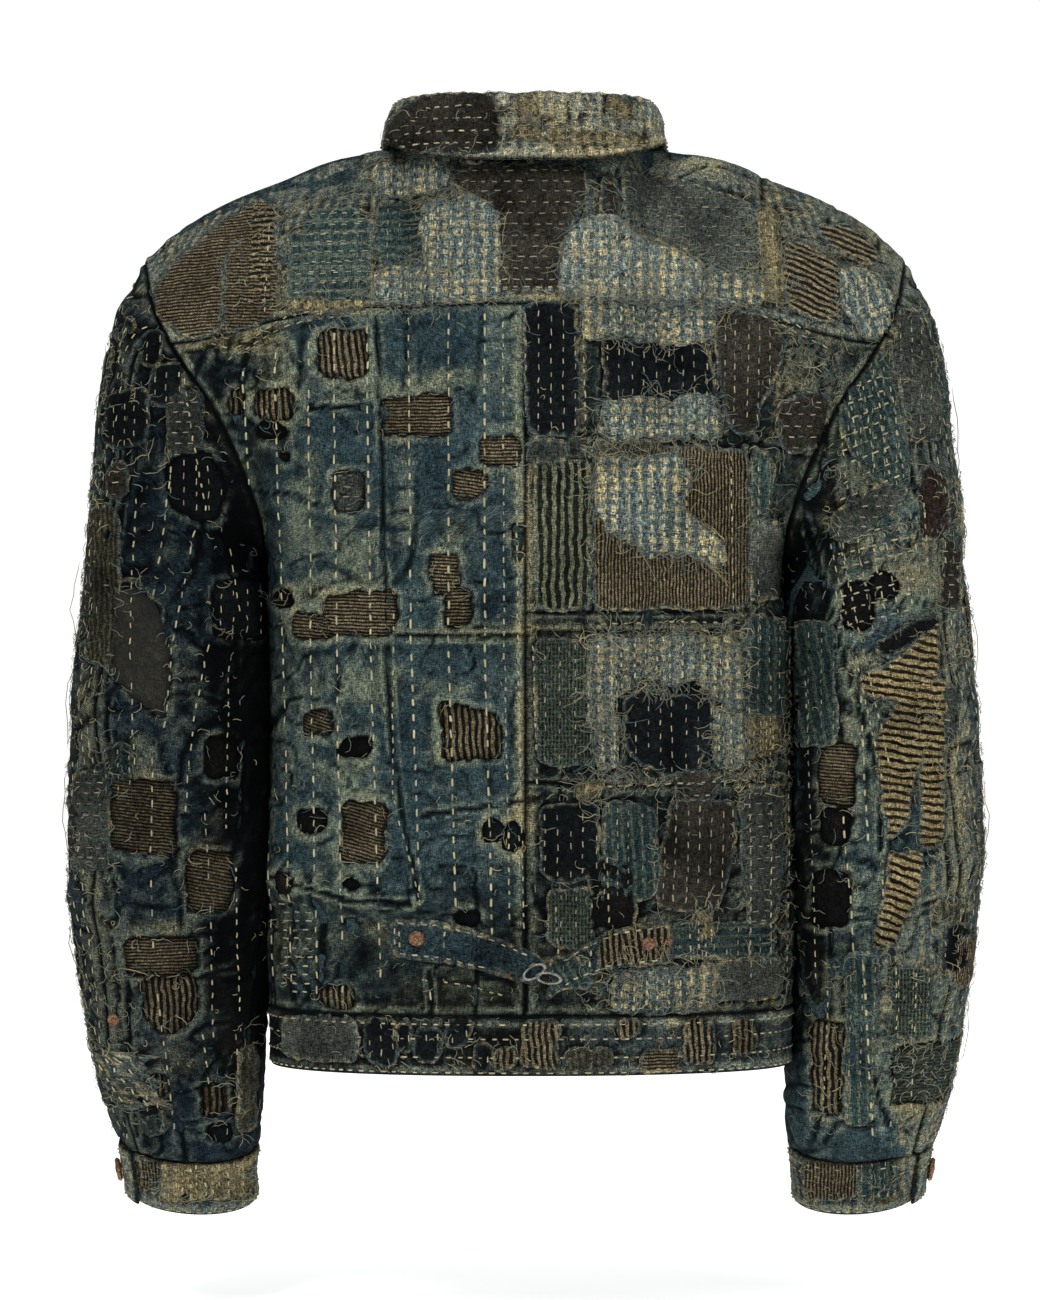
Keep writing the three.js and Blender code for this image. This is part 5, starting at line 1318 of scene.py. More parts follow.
for tree, view, (lowA, highA, lowB, highB), count in oddEnds:
    for _ in range(count):
        a, b = rng.uniform(lowA, highA), rng.uniform(lowB, highB)
        if onPlainRag(tree, view, a, b) and rng.random() < 0.75:
            continue
        strand(groupAt(tree, a, b), tree, view, a, b, rng.uniform(0, 6.28), rng.uniform(4, 12), 0.45, 1.2,
               rng.uniform(0.2, 0.3), np.clip(rng.normal(0.5, 0.25), 0, 1), steps=6)

# Long threads that hang off the arms and the back, and ends that stand out at the arms' outer edges.
hanging = {
    "leftSleeve": [[(-287, -120), (-290, -150), (-290, -184)], [(-305, -326), (-315, -362), (-315, -407)],
        [(-314, -414), (-318, -446), (-311, -480)], [(-309, -330), (-312, -300), (-306, -268)],
        [(-306, -500), (-312, -530), (-304, -566)], [(-293, -196), (-299, -222), (-299, -250)]],
    "rightSleeve": [[(292, -150), (298, -190), (299, -226)], [(314, -420), (318, -452), (313, -490)],
        [(306, -300), (311, -330), (309, -366)], [(300, -560), (306, -590), (297, -620)]],
    "backRight": [[(179, -300), (180, -322), (178, -346)], [(60, -204), (64, -222), (68, -244), (76, -268),
        (92, -294)]],
}
for group, paths in hanging.items():
    for path in paths:
        hits = [touch("body", "back", a, b) if group == "backRight" else None for a, b in path]
        depths = [-14 if hit is None else hit[0][1] - 1.5 for hit in hits]
        line = throughPoints(np.array([(a, y + rng.uniform(-1, 1), b) for (a, b), y in zip(path, depths)]),
                             np.linspace(0, 1, threadSteps))
        line = line + rng.normal(size=line.shape) * [1.1, 0.8, 1.4]
        keep(threads, group, line, 0.34, rng.uniform(0.2, 0.9))
for side, word in ((-1, "left"), (1, "right")):
    group = word + "Sleeve"
    for _ in range(130):
        z = rng.uniform(-670, -110)
        y = -14 + rng.uniform(-26, 26) + max(0, -560 - z) * 0.3
        strand(group, group, word, y, z, rng.uniform(0, 6.28), rng.uniform(5, 12), 0.5, 1.9,
               rng.uniform(0.18, 0.28), np.clip(rng.normal(0.5, 0.3), 0, 1))

# Rows that follow a panel's own lines, where the view from behind doesn't show it.
armShares = (0.03, 0.12, 0.22, 0.32, 0.42, 0.52, 0.62, 0.72, 0.82, 0.92, 0.97)
panelRows = {  # panel: group, along the rows or the columns, shares across, how
    "waistband": ("band", 0, (0.1, 0.36, 0.68, 0.92), finer),
    "collar": ("collar", 0, (0.62, 0.8, 0.95), finer),
    "cuff_left": ("leftCuff", 0, (0.1, 0.36, 0.62, 0.88), finer),
    "cuff_right": ("rightCuff", 0, (0.1, 0.4, 0.7, 0.9), finer),
    "front_left": ("leftFront", 1, (0.05, 0.16, 0.25, 0.34, 0.43, 0.52, 0.61, 0.7, 0.79, 0.9), cream),
    "front_right": ("rightFront", 1, (0.1, 0.2, 0.3, 0.4, 0.5, 0.6, 0.7, 0.8, 0.9), cream),
    "sleeve_left_top": ("leftSleeve", 1, armShares, dim),
    "sleeve_right_top": ("rightSleeve", 1, armShares, dim),
}
for name, (group, axis, shares, kind) in panelRows.items():
    p, n = panels[name]["points"], panels[name]["normals"]
    for share in shares:
        k = int(share * (p.shape[1 - axis] - 1))
        line, normal = (p[:, k], n[:, k]) if axis == 0 else (p[k], n[k])
        sewLine(group, line[2:-2] + normal[2:-2] * 0.25, normal[2:-2], **kind)
count = sum(len(v[0]) for v in stitches.values()), sum(len(v[0]) for v in threads.values())
print("stage 4:", count[0], "stitches and", count[1], "threads")


# Materials.
def tint(*levels):  # a tone of 0 to 255 levels as a linear colour
    shares = [level / 255 for level in levels]
    return (*(c / 12.92 if c <= 0.04045 else ((c + 0.055) / 1.055) ** 2.4 for c in shares), 1.0)


def nodeMaker(tree):
    def add(kind, inputs=(), **settings):
        node = tree.nodes.new("ShaderNode" + kind)
        for key, value in settings.items():
            setattr(node, key, value)
        for key, value in dict(inputs).items():
            if isinstance(value, bpy.types.NodeSocket):
                tree.links.new(value, node.inputs[key])
            else:
                node.inputs[key].default_value = value
        return node
    return add


def calc(add, how, a, b=0.0, c=0.0):
    return add("Math", {0: a, 1: b, 2: c}, operation=how).outputs[0]


def times(add, a, b):
    return calc(add, "MULTIPLY", a, b)


def plus(add, a, b):
    return calc(add, "ADD", a, b)


def swing(add, value, reach):  # a value round 0.5, drawn out to either side of 0
    return times(add, calc(add, "SUBTRACT", value, 0.5), reach)


def blend(add, share, a, b, how="MIX"):
    return add("Mix", {0: share, 6: a, 7: b}, data_type="RGBA", blend_type=how).outputs[2]


def ramp(add, value, low, high, out0=0.0, out1=1.0):
    node = add("MapRange", {0: value, 1: low, 2: high, 3: out0, 4: out1}, interpolation_type="SMOOTHSTEP")
    return node.outputs[0]


def noise(add, vector, scale, detail=3.0, rough=0.55, distortion=0.0):
    return add("TexNoise", {"Vector": vector, "Scale": scale, "Detail": detail, "Roughness": rough,
                            "Distortion": distortion}).outputs[0]


def newGroup(name, inputs, outputs):
    tree = bpy.data.node_groups.new(name, "ShaderNodeTree")
    for label, kind, value in inputs:
        socket = tree.interface.new_socket(name=label, in_out="INPUT", socket_type="NodeSocket" + kind)
        socket.default_value = value
    for label, kind in outputs:
        tree.interface.new_socket(name=label, in_out="OUTPUT", socket_type="NodeSocket" + kind)
    return tree, tree.nodes.new("NodeGroupInput").outputs, tree.nodes.new("NodeGroupOutput").inputs


grey = (0.2, 0.2, 0.2, 1)
fullTurn = 6.2832


def makeMottle():  # cloudy change between three tones, as uneven indigo dye gives
    tree, given, result = newGroup("dyeMottle", [
        ("Deep", "Color", grey), ("Mid", "Color", grey), ("Light", "Color", grey), ("Scale", "Float", 1.0)],
        [("Color", "Color")])
    add = nodeMaker(tree)
    place = add("TexCoord").outputs["Object"]
    long = add("Mapping", {"Vector": place, "Scale": (1.0, 1.0, 0.55)}).outputs[0]
    broad = noise(add, long, times(add, given["Scale"], 26.0), 5.0, 0.62, 0.3)
    small = noise(add, place, times(add, given["Scale"], 150.0), 3.0, 0.6)
    both = plus(add, times(add, broad, 0.68), times(add, small, 0.32))
    tone = blend(add, ramp(add, both, 0.36, 0.52), given["Deep"], given["Mid"])
    tree.links.new(blend(add, ramp(add, both, 0.5, 0.68), tone, given["Light"]), result["Color"])
    return tree


def makeWeave():  # yarns over and under, with slubs
    tree, given, result = newGroup("yarnWeave", [("Period", "Float", 0.0011)],
                                   [("Height", "Float"), ("Grain", "Float")])
    add = nodeMaker(tree)
    uv = add("UVMap", uv_map="weave").outputs[0]
    split = add("SeparateXYZ", {0: uv}).outputs
    pace = calc(add, "DIVIDE", fullTurn, given["Period"])
    slub = noise(add, uv, 420.0, 2.0, 0.6)
    u = calc(add, "SINE", calc(add, "MULTIPLY_ADD", split[0], pace, times(add, slub, 3.0)))
    v = calc(add, "SINE", calc(add, "MULTIPLY_ADD", split[1], pace, times(add, slub, 3.0)))
    stretched = add("Mapping", {"Vector": uv, "Scale": (1600.0, 220.0, 1.0)}).outputs[0]
    crossed = add("Mapping", {"Vector": uv, "Scale": (220.0, 1600.0, 1.0)}).outputs[0]
    warp, weft = noise(add, stretched, 1.0, 1.0), noise(add, crossed, 1.0, 1.0)
    grain = times(add, plus(add, warp, weft), 0.5)
    over = times(add, u, v)
    tree.links.new(calc(add, "MULTIPLY_ADD", over, 0.25, grain), result["Height"])
    tree.links.new(ramp(add, grain, 0.32, 0.68), result["Grain"])
    return tree


def makeWearAndShade():  # fading, tan staining, painted shade with uneven darkening, and grain, from the piece's own wear and shade values
    tree, given, result = newGroup("clothWearAndShade", [
        ("Base", "Color", grey), ("Pale", "Color", grey), ("Tan", "Color", grey), ("Grain", "Float", 0.5),
        ("Strength", "Float", 1.0), ("Speck", "Float", 1.0)], [("Color", "Color"), ("Fuzz", "Float")])
    add = nodeMaker(tree)
    place = add("TexCoord").outputs["Object"]
    wear = add("Attribute", attribute_name="wear")
    fade, tan, shade = add("SeparateColor", {0: wear.outputs["Color"]}).outputs[:3]
    spots = noise(add, place, 240.0, 4.0, 0.65, 0.4)
    hairs = noise(add, place, 650.0, 3.0, 0.7, 1.6)
    cloud = noise(add, place, 70.0, 4.0, 0.6, 0.5)
    patchy = plus(add, times(add, spots, 0.6), times(add, cloud, 0.4))
    faded = ramp(add, plus(add, times(add, fade, given["Strength"]), swing(add, patchy, 2.0)), 0.25, 1.15)
    colour = blend(add, times(add, faded, 0.85), given["Base"], given["Pale"])
    stained = ramp(add, plus(add, times(add, tan, given["Strength"]), swing(add, hairs, 1.8)), 0.38, 1.1)
    colour = blend(add, times(add, stained, 0.85), colour, given["Tan"])
    # Painted shade: the third value darkens the colour, together with the weave's grain and specks.
    dark = calc(add, "MULTIPLY_ADD", shade, -0.88, 1.0)
    grain = calc(add, "MULTIPLY_ADD", given["Grain"], 1.35, 0.3)
    speck = calc(add, "MULTIPLY_ADD", calc(add, "SUBTRACT", ramp(add, hairs, 0.3, 0.7, 0.2, 1.9), 1.0),
                 given["Speck"], 1.0)
    value = calc(add, "POWER", times(add, times(add, dark, grain), speck), 1.35)
    grey3 = add("CombineColor", {0: value, 1: value, 2: value}).outputs[0]
    tree.links.new(blend(add, 1.0, colour, grey3, "MULTIPLY"), result["Color"])
    tree.links.new(hairs, result["Fuzz"])
    return tree


def makeStripes():  # woven stripes across the piece's own u direction
    tree, given, result = newGroup("wovenStripes", [
        ("Period", "Float", 0.004), ("Share", "Float", 0.5), ("Wander", "Float", 0.0006)],
        [("Mask", "Float"), ("Rib", "Float")])
    add = nodeMaker(tree)
    uv = add("UVMap", uv_map="weave").outputs[0]
    split = add("SeparateXYZ", {0: uv}).outputs
    drift = swing(add, noise(add, uv, 60.0, 2.0), given["Wander"])
    place = calc(add, "DIVIDE", plus(add, split[0], times(add, drift, 6.0)), given["Period"])
    wave = calc(add, "SINE", times(add, place, fullTurn))
    rough = swing(add, noise(add, uv, 900.0, 2.0), 0.9)
    edge = calc(add, "MULTIPLY_ADD", given["Share"], -2.0, 1.0)
    low = plus(add, edge, -0.3)
    high = plus(add, edge, 0.3)
    tree.links.new(ramp(add, plus(add, wave, rough), low, high), result["Mask"])
    tree.links.new(wave, result["Rib"])
    return tree


def makeWeb():  # the loose grid that a cloth frays to: pale threads, and tan clumps in broken rows
    tree, given, result = newGroup("frayedWeb", [("Across", "Float", 0.0085), ("Up", "Float", 0.0066)],
                                   [("Clumps", "Float"), ("Threads", "Float")])
    add = nodeMaker(tree)
    place = add("TexCoord").outputs["Object"]
    uv = add("UVMap", uv_map="weave").outputs[0]
    stray = add("TexNoise", {"Vector": place, "Scale": 90.0, "Detail": 3.0}).outputs[1]
    drift = add("VectorMath", {0: stray, 3: 0.007}, operation="SCALE").outputs[0]
    warped = add("VectorMath", {0: uv, 1: drift}, operation="ADD").outputs[0]
    split = add("SeparateXYZ", {0: warped}).outputs
    u = calc(add, "SINE", times(add, split[0], calc(add, "DIVIDE", fullTurn, given["Across"])))
    v = calc(add, "SINE", times(add, split[1], calc(add, "DIVIDE", fullTurn, given["Up"])))
    tangle = noise(add, place, 520.0, 3.0, 0.7, 2.2)
    broad = noise(add, place, 34.0, 3.0, 0.6)
    fibres = []
    for scale in ((1300.0, 170.0, 1.0), (170.0, 1300.0, 1.0)):
        drawn = add("Mapping", {"Vector": warped, "Scale": scale}).outputs[0]
        fibres.append(ramp(add, noise(add, drawn, 1.0, 2.0), 0.46, 0.62))
    crossed = calc(add, "MAXIMUM", fibres[0], times(add, fibres[1], 0.8))
    columns = times(add, ramp(add, u, -0.3, 0.8), ramp(add, v, -0.9, 0.5, 0.35, 1.0))
    tangled = times(add, ramp(add, tangle, 0.36, 0.66), 0.36)
    woven = calc(add, "MULTIPLY_ADD", crossed, 0.34, tangled)
    tree.links.new(plus(add, woven, times(add, columns, 0.42)), result["Threads"])
    grid = plus(add, times(add, u, 0.34), times(add, v, 0.26))
    total = plus(add, plus(add, grid, times(add, tangle, 2.2)),
                 times(add, broad, 2.6))
    tree.links.new(ramp(add, total, 2.42, 3.15), result["Clumps"])
    return tree


groups = {"mottle": makeMottle(), "weave": makeWeave(), "wear": makeWearAndShade(), "stripes": makeStripes(),
          "web": makeWeb()}
toneNames = ("deep", "mid", "light", "pale", "tan", "stripe", "cross")
webTones = ((42, 60, 66), (132, 146, 138), (180, 164, 120))


def startMaterial(name):  # an empty material, and what adds its nodes
    material = bpy.data.materials.get(name) or bpy.data.materials.new(name)
    material.use_nodes = True
    material.node_tree.nodes.clear()
    return material, nodeMaker(material.node_tree)


def clothMaterial(name, look):
    _, add = startMaterial(name)
    use = lambda group, inputs=(): add("Group", inputs, node_tree=groups[group]).outputs
    tone = {key: tint(*levels) for key, levels in zip(toneNames, look["tones"])}
    base = use("mottle", {"Deep": tone["deep"], "Mid": tone["mid"], "Light": tone["light"], "Scale": 1.0})[0]
    weave = use("weave", {"Period": 0.0011})
    height = weave["Height"]
    if "stripe" in look:
        period, share, wander = look["stripe"]
        stripes = use("stripes", {"Period": period, "Share": share, "Wander": wander})
        shown = times(add, stripes["Mask"], look.get("stripeStrength", 0.95))
        base = blend(add, shown, base, tone["stripe"])
        height = calc(add, "MULTIPLY_ADD", stripes["Rib"], 0.5, height)
    if "cross" in look:
        split = add("SeparateXYZ", {0: add("UVMap", uv_map="weave").outputs[0]}).outputs
        lines = calc(add, "SINE", times(add, split[1], fullTurn / look["cross"]))
        base = blend(add, ramp(add, lines, 0.2, 0.7, 0.0, 0.75), base, tone["cross"])
    fray = add("Attribute", attribute_name="wear").outputs["Alpha"]
    web = use("web")
    loose = ramp(add, plus(add, fray, look.get("web", 0.0)), 0.1, 0.7)
    deepWeb, midWeb, tanWeb = (tint(*levels) for levels in look.get("webTones", webTones))
    webbed = blend(add, web["Clumps"], blend(add, web["Threads"], deepWeb, midWeb), tanWeb)
    base = blend(add, loose, base, webbed)
    # worn: the cloth's colour after fading, tan staining and painted shade
    worn = use("wear", {"Base": base, "Pale": tone["pale"], "Tan": tone["tan"], "Grain": weave["Grain"],
                        "Strength": look.get("strength", 1.0), "Speck": look.get("speck", 0.9)})
    height = plus(add, height, times(add, worn["Fuzz"], 0.8))
    height = calc(add, "MULTIPLY_ADD", times(add, web["Threads"], loose), 1.6, height)
    normal = add("Bump", {"Height": height, "Strength": 1.0, "Distance": look.get("bump", 0.0007)}).outputs[0]
    rough = calc(add, "MULTIPLY_ADD", weave["Grain"], -0.08, look.get("rough", 0.94))
    shader = add("BsdfPrincipled", {"Base Color": worn["Color"], "Roughness": rough, "Normal": normal,
                                    "Specular IOR Level": look.get("gloss", 0.06), "Sheen Weight": 0.0})
    add("OutputMaterial", {0: shader.outputs[0]})


# Each cloth: its tones in the order of toneNames, its stripes as period, share and wander, and how worn it is.
tan = (156, 146, 108)
looks = {
    "denim": {"tones": [(30, 46, 52), (50, 68, 72), (76, 92, 92), (118, 126, 106), tan], "speck": 0.6},
    "boro": {"tones": [(28, 42, 48), (48, 64, 68), (76, 90, 88), (120, 128, 114), tan], "web": 0.08},
    "fray": {"tones": [(46, 66, 72), (88, 106, 106), (134, 146, 134), (160, 166, 150), (196, 180, 134)],
        "web": 0.6, "webTones": [(42, 62, 68), (154, 168, 158), (208, 192, 142)]},
    "paleFray": {"tones": [(66, 84, 86), (108, 122, 118), (150, 158, 144), (172, 174, 154),
        (206, 188, 140)], "web": 0.6, "webTones": [(66, 86, 90), (170, 180, 168), (216, 200, 150)]},
    "tanFray": {"tones": [(72, 68, 50), (120, 110, 82), (164, 150, 110), (170, 160, 126), (192, 172, 122)],
        "web": 0.3, "webTones": [(70, 66, 48), (140, 130, 96), (190, 172, 124)]},
    "ticking": {"tones": [(18, 20, 20), (28, 30, 28), (42, 42, 36), (90, 86, 68), (128, 114, 82),
        (134, 121, 92)], "stripe": (0.0043, 0.44, 0.0009), "bump": 0.0009, "strength": 0.5},
    "brownStripe": {"tones": [(24, 21, 15), (38, 34, 26), (54, 48, 37), (96, 90, 72), (124, 110, 82),
        (118, 107, 84)], "stripe": (0.0023, 0.44, 0.0004), "bump": 0.0008, "strength": 0.5},
    "greyStripe": {"tones": [(18, 21, 19), (30, 34, 29), (46, 50, 42), (92, 94, 78), (110, 106, 82),
        (106, 108, 86)], "stripe": (0.0058, 0.44, 0.0012), "bump": 0.0009, "strength": 0.5},
    "knit": {"tones": [(28, 28, 21), (46, 45, 35), (64, 62, 48), (96, 94, 76), tan, (80, 78, 60)],
        "stripe": (0.0036, 0.5, 0.0014), "bump": 0.001},
    "brownPlain": {"tones": [(32, 30, 25), (54, 51, 44), (80, 76, 66), (100, 94, 82), (122, 112, 92)],
        "strength": 0.6, "speck": 0.7},
    "redBrown": {"tones": [(36, 28, 25), (54, 43, 38), (74, 61, 52), (96, 86, 72), (122, 102, 76)],
        "strength": 0.6},
    "navy": {"tones": [(9, 12, 13), (20, 25, 27), (36, 43, 45), (62, 74, 76), (80, 84, 74)], "strength":
        0.35, "speck": 0.6},
    "charcoal": {"tones": [(46, 50, 46), (70, 74, 68), (90, 95, 86), (112, 116, 104), (114, 112, 92)],
        "strength": 0.5},
    "grey": {"tones": [(40, 44, 42), (68, 72, 66), (98, 102, 92), (116, 118, 104), tan], "web": 0.15,
        "strength": 0.7},
    "greyTan": {"tones": [(50, 52, 43), (84, 82, 66), (118, 112, 88), (134, 128, 104), (160, 144, 106),
        (42, 47, 44)], "stripe": (0.005, 0.5, 0.0008), "stripeStrength": 0.6},
    "check": {"tones": [(20, 28, 25), (36, 44, 39), (56, 64, 56), (90, 96, 82), (118, 114, 86),
        (82, 91, 79), (78, 86, 74)], "stripe": (0.0024, 0.42, 0.0003), "cross": 0.0031, "stripeStrength":
        0.8, "strength": 0.6},
    "teal": {"tones": [(28, 44, 46), (46, 64, 64), (72, 88, 82), (114, 120, 102), tan, (98, 106, 90)],
        "stripe": (0.0062, 0.28, 0.0006), "stripeStrength": 0.5},
    "plaid": {"tones": [(26, 43, 46), (44, 62, 62), (66, 82, 78), (106, 114, 100), tan, (84, 96, 88),
        (90, 100, 88)], "stripe": (0.009, 0.3, 0.0006), "cross": 0.0085, "stripeStrength": 0.5},
    "sheen": {"tones": [(34, 34, 26), (58, 56, 43), (88, 84, 64), (106, 102, 82), (108, 103, 82)], "rough":
        0.7, "gloss": 0.25, "strength": 0.6},
    # shadow: a near-black sheet laid where holes and gaps show only shade, a painted shadow
    "shadow": {"tones": [(10, 12, 12), (20, 21, 20), (34, 33, 29), (56, 56, 48), (80, 74, 56)], "strength":
        0.4},
    "boldStripe": {"tones": [(20, 18, 13), (34, 31, 23), (50, 44, 32), (100, 92, 68), (136, 120, 82),
        (150, 134, 96)], "stripe": (0.0054, 0.58, 0.001), "bump": 0.0009, "strength": 0.5},
    "darkDenim": {"tones": [(13, 21, 26), (25, 38, 45), (43, 58, 63), (82, 90, 80), (112, 106, 80)],
        "webTones": [(24, 36, 40), (86, 96, 90), (122, 114, 84)], "speck": 0.7},
    "darkBoro": {"tones": [(13, 20, 22), (27, 37, 38), (50, 60, 57), (98, 104, 90), (132, 124, 92)], "web":
        0.05, "webTones": [(24, 36, 40), (92, 102, 94), (136, 126, 92)]},
}
for name, look in looks.items():
    clothMaterial(name, look)


def threadMaterial(name, dark, light):
    _, add = startMaterial(name)
    wear = add("Attribute", attribute_name="wear")
    tone = add("SeparateColor", {0: wear.outputs["Color"]}).outputs[0]
    colour = blend(add, tone, tint(*dark), tint(*light))
    place = add("TexCoord").outputs["Object"]
    dirty = ramp(add, noise(add, place, 90.0, 3.0), 0.3, 0.7, 0.62, 1.0)
    twist = noise(add, place, 2400.0, 1.0)
    darkening = add("CombineColor", {0: dirty, 1: dirty, 2: dirty}).outputs[0]
    colour = blend(add, 1.0, colour, darkening, "MULTIPLY")
    normal = add("Bump", {"Height": twist, "Strength": 0.5, "Distance": 0.0002}).outputs[0]
    rough = calc(add, "MULTIPLY_ADD", twist, 0.1, 0.82)
    shader = add("BsdfPrincipled", {"Base Color": colour, "Roughness": rough, "Normal": normal,
                                    "Specular IOR Level": 0.15})
    add("OutputMaterial", {0: shader.outputs[0]})


threadMaterial("stitchThread", (84, 98, 96), (212, 202, 160))
threadMaterial("looseThread", (98, 118, 120), (196, 182, 136))


def metalMaterial(name, dark, light, worn, rough):
    material, add = startMaterial(name)
    place = add("TexCoord").outputs["Object"]
    spots, scratches = noise(add, place, 700.0, 4.0, 0.6), noise(add, place, 3000.0, 2.0, 0.6, 1.5)
    colour = blend(add, ramp(add, spots, 0.4, 0.62), tint(*dark), tint(*light))
    colour = blend(add, ramp(add, scratches, 0.62, 0.75, 0.0, 0.6), colour, tint(*worn))
    roughness = ramp(add, spots, 0.3, 0.7, rough + 0.16, rough - 0.06)
    normal = add("Bump", {"Height": spots, "Strength": 0.4, "Distance": 0.0002}).outputs[0]
    shader = add("BsdfPrincipled", {"Base Color": colour, "Metallic": 0.75, "Roughness": roughness,
                                    "Normal": normal})
    add("OutputMaterial", {0: shader.outputs[0]})
    return material


copper = metalMaterial("wornCopper", (84, 58, 42), (148, 112, 84), (188, 156, 124), 0.5)
steel = metalMaterial("wornSteel", (98, 96, 90), (158, 156, 147), (204, 201, 192), 0.4)
print("stage 5: materials made")


# The pieces themselves.
panelLooks = {  # node: material, record slot, group whose rags, stitches and threads it carries
    "back_left": ("denim", "denim", "backLeft"), "back_right": ("darkBoro", "boro", "backRight"),
    "back_yoke": ("boro", "boro", "yoke"), "front_left": ("denim", "denim", "leftFront"),
    "front_right": ("denim", "denim", "rightFront"), "waistband": ("boro", "boro", "band"),
    "sleeve_left_top": ("darkDenim", "boro", "leftSleeve"), "sleeve_left_under": ("darkDenim", "denim", None),
    "sleeve_right_top": ("boro", "boro", "rightSleeve"), "sleeve_right_under": ("denim", "denim", None),
    "cuff_left": ("boro", "boro", "leftCuff"), "cuff_right": ("boro", "boro", "rightCuff"),
    "collar": ("paleFray", "boro", "collar"),
}


def addGroup(group):  # the joined rags, stitches and threads that one piece carries
    names = [group, group.replace("Sleeve", "Outer")] if "Sleeve" in group else [group]
    parts = [pair for key in names for pair in madeRags.get(key, [])]
    result = []
    if parts:
        kinds = sorted({item["kind"] for item, _ in parts})
        points, faces, uv, wear = joined([part for _, part in parts])
        which = np.repeat([kinds.index(item["kind"]) for item, _ in parts],
                          [len(part["faces"]) for _, part in parts])
        piece = newPiece(f"rags_{group}", points, faces, uv, wear, kinds, which)
        result.append(piece)
    for extra in names[1:]:
        for store in (stitches, threads):
            for kept, more in zip(store.setdefault(group, [[] for _ in store[extra]]), store[extra]):
                kept.extend(more)
    for label, store, shape, material in (("stitches", stitches, stitchMesh, "stitchThread"),
                                          ("threads", threads, threadMesh, "looseThread")):
        if group not in store:
            continue
        *rows, tones = store[group]
        points, faces, per = shape(*rows)
        tone = np.repeat(np.array(tones, float), per)
        wear = np.stack([tone, tone, tone, np.ones_like(tone)], -1)
        piece = newPiece(f"{label}_{group}", points, faces, points[:, [0, 2]], wear, [material])
        result.append(piece)
    return result


for name, (material, slot, group) in panelLooks.items():
    panel = panels[name]
    piece = panelPiece(f"cloth_{name}", panel, material)
    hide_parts(name)
    extras = addGroup(group) if group else []


def ragShape(part):
    return (part[key] for key in ("points", "faces", "uv", "wear"))


def declareRag(item, part):  # works out the outline's box and a growth factor from the rag's area, and keeps neither
    low, high = item["line"].min(0) / 1000, item["line"].max(0) / 1000
    grow = max(1, (part["area"] / max((high - low).prod(), 1e-9)) ** 0.5)


for node in largeRags:
    item, part = madeRags[node][0]
    piece = newPiece("rag_" + node[6:], *ragShape(part), [item["kind"]])
    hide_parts(node)
    declareRag(item, part)

strapExtras = addGroup("straps")
for name, strap in straps.items():
    part = strap["part"]
    piece = newPiece("cloth_" + name, *ragShape(part), [strap["material"]])
    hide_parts(name)
print("stage 6: cloth pieces placed")

for name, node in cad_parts.items():  # rivets and buttons keep their shape
    if "rivet" in name or "button" in name:
        node.data.materials.clear()
        node.data.materials.append(copper)

# The hook between the straps: two wire links, one through the other.
hook = {"at": (0.0105, -0.1213, -0.5485), "wire": 0.0014, "long": 0.0078,
        "links": ((-0.0045, 30, 0.35), (0.0052, -8, -0.4))}  # offset, turn in degrees, tilt
parts = []
for offset, degrees, tilt in hook["links"]:
    bpy.ops.object.select_all(action="DESELECT")
    bpy.ops.mesh.primitive_torus_add(major_radius=hook["long"], minor_radius=hook["wire"], major_segments=40,
                                     minor_segments=10, location=(0, 0, 0))
    link = bpy.context.object
    bpy.ops.object.mode_set(mode="EDIT")
    bpy.ops.mesh.select_all(action="SELECT")
    bpy.ops.transform.resize(value=(1.0, 0.5, 1.0))
    bpy.ops.transform.rotate(value=math.radians(90) + tilt, orient_axis="X", center_override=(0, 0, 0))
    bpy.ops.transform.rotate(value=math.radians(degrees), orient_axis="Y", center_override=(0, 0, 0))
    bpy.ops.transform.translate(value=(hook["at"][0] + offset, hook["at"][1], hook["at"][2] - offset * 0.4))
    bpy.ops.mesh.normals_make_consistent(inside=False)
    bpy.ops.object.mode_set(mode="OBJECT")
    parts.append(link)
bpy.ops.object.select_all(action="DESELECT")
for link in parts:
    link.select_set(True)
bpy.context.view_layer.objects.active = parts[0]
bpy.ops.object.join()
hookPiece = parts[0]
hookPiece.name = "cinch_hook"
bpy.ops.object.shade_smooth()
hookPiece.data.materials.append(steel)
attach(hookPiece, "root")
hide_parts("cinch_buckle")

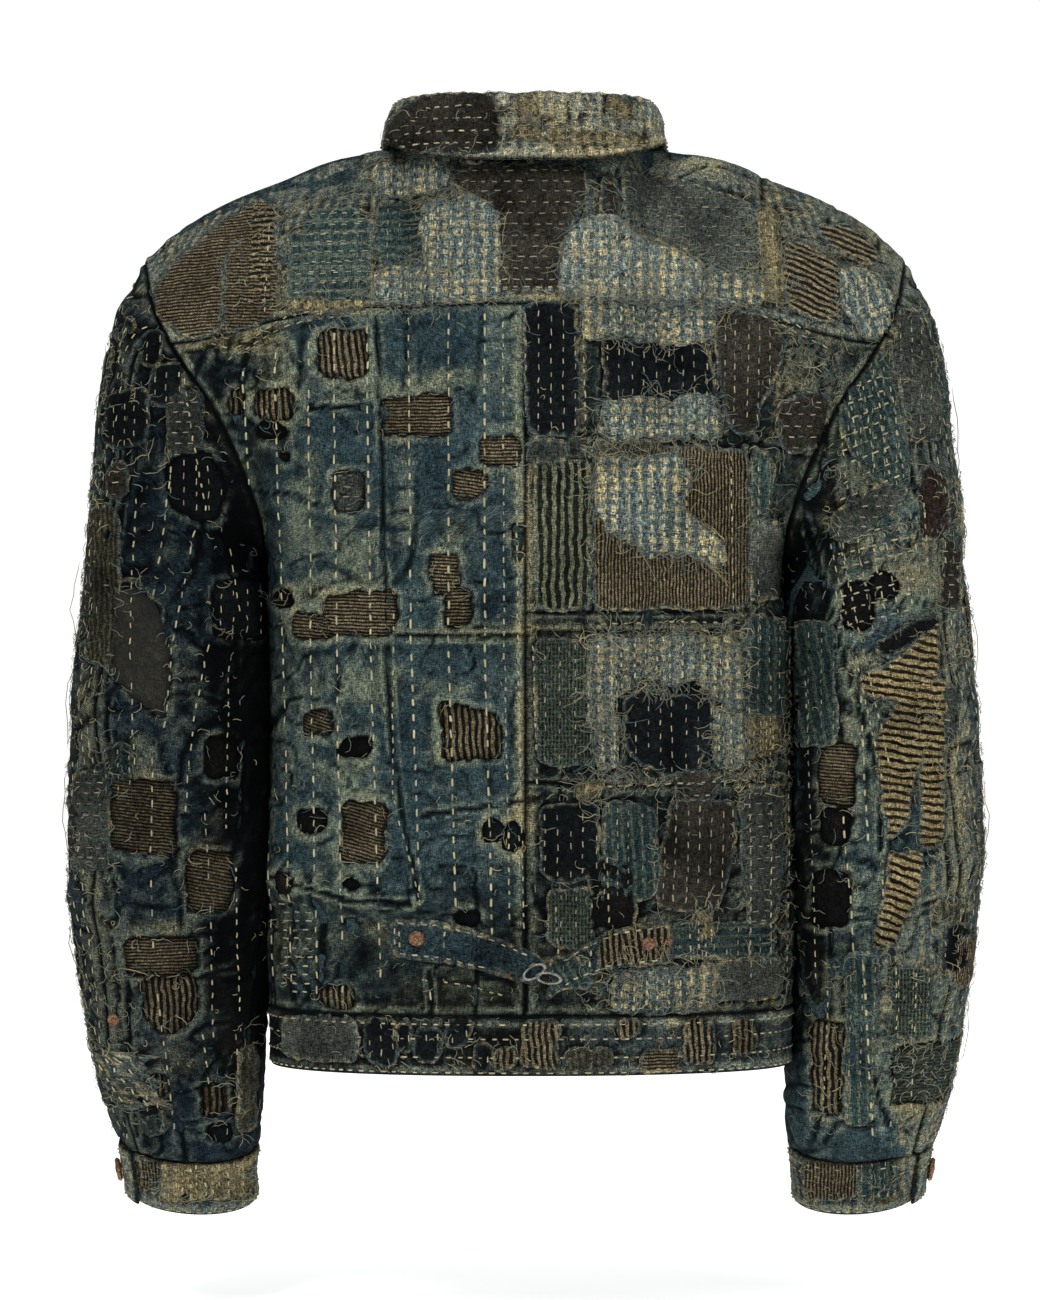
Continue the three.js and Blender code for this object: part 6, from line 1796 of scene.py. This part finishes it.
# Floor, light and camera.
stage = {"floorSize": 5, "floorHeight": -0.79, "pale": (250, 250, 249)}
bpy.ops.mesh.primitive_plane_add(size=stage["floorSize"], location=(0, 0, stage["floorHeight"]))
floor = bpy.context.object
floor.name = "floor"
paint = bpy.data.materials.new("paleFloor")
paint.use_nodes = True
for key, value in {"Base Color": tint(*stage["pale"]), "Roughness": 0.9, "Emission Color": (1, 1, 1, 1),
                   "Emission Strength": 0.5}.items():
    paint.node_tree.nodes["Principled BSDF"].inputs[key].default_value = value
floor.data.materials.append(paint)

lights = {
    "key": {"at": (-1.3, -3.2, 2.6), "size": 1.4, "power": 86},
    "fill": {"at": (2.6, -3.0, 0.9), "size": 2.4, "power": 38},
    "front": {"at": (0.8, 3.6, 1.8), "size": 2.4, "power": 48},
    "top": {"at": (0, -0.2, 3.0), "size": 2.2, "power": 34},
}
middle = Vector((0, 0, -0.35))
for name, light in lights.items():
    data = bpy.data.lights.new(name, "AREA")
    data.shape, data.size, data.energy = "SQUARE", light["size"], light["power"]
    lamp = bpy.data.objects.new(name, data)
    lamp.location = light["at"]
    lamp.rotation_euler = (middle - Vector(light["at"])).to_track_quat("-Z", "Y").to_euler()
    bpy.context.scene.collection.objects.link(lamp)
world = bpy.data.worlds.new("studio")
bpy.context.scene.world = world
world.use_nodes = True
nodes, join = world.node_tree.nodes, world.node_tree.links.new
soft, seen = nodes["Background"], nodes.new("ShaderNodeBackground")
soft.inputs[0].default_value, soft.inputs[1].default_value = (0.95, 0.97, 1.0, 1), 0.27
seen.inputs[0].default_value, seen.inputs[1].default_value = (1.0, 1.0, 1.0, 1), 1.05
chosen = nodes.new("ShaderNodeMixShader")
join(nodes.new("ShaderNodeLightPath").outputs["Is Camera Ray"], chosen.inputs[0])
join(soft.outputs[0], chosen.inputs[1])
join(seen.outputs[0], chosen.inputs[2])
join(chosen.outputs[0], nodes["World Output"].inputs[0])
bpy.context.scene.view_settings.view_transform = "Standard"

camera = bpy.data.objects.new("camera", bpy.data.cameras.new("camera"))
camera.data.lens, camera.data.sensor_width = 120.2, 36
camera.location = (-0.0035, -3.0, -0.333)
camera.rotation_euler = (math.radians(90), 0, 0)
bpy.context.scene.collection.objects.link(camera)
bpy.context.scene.camera = camera

bpy.context.view_layer.update()
print("stage 7: scene ready")
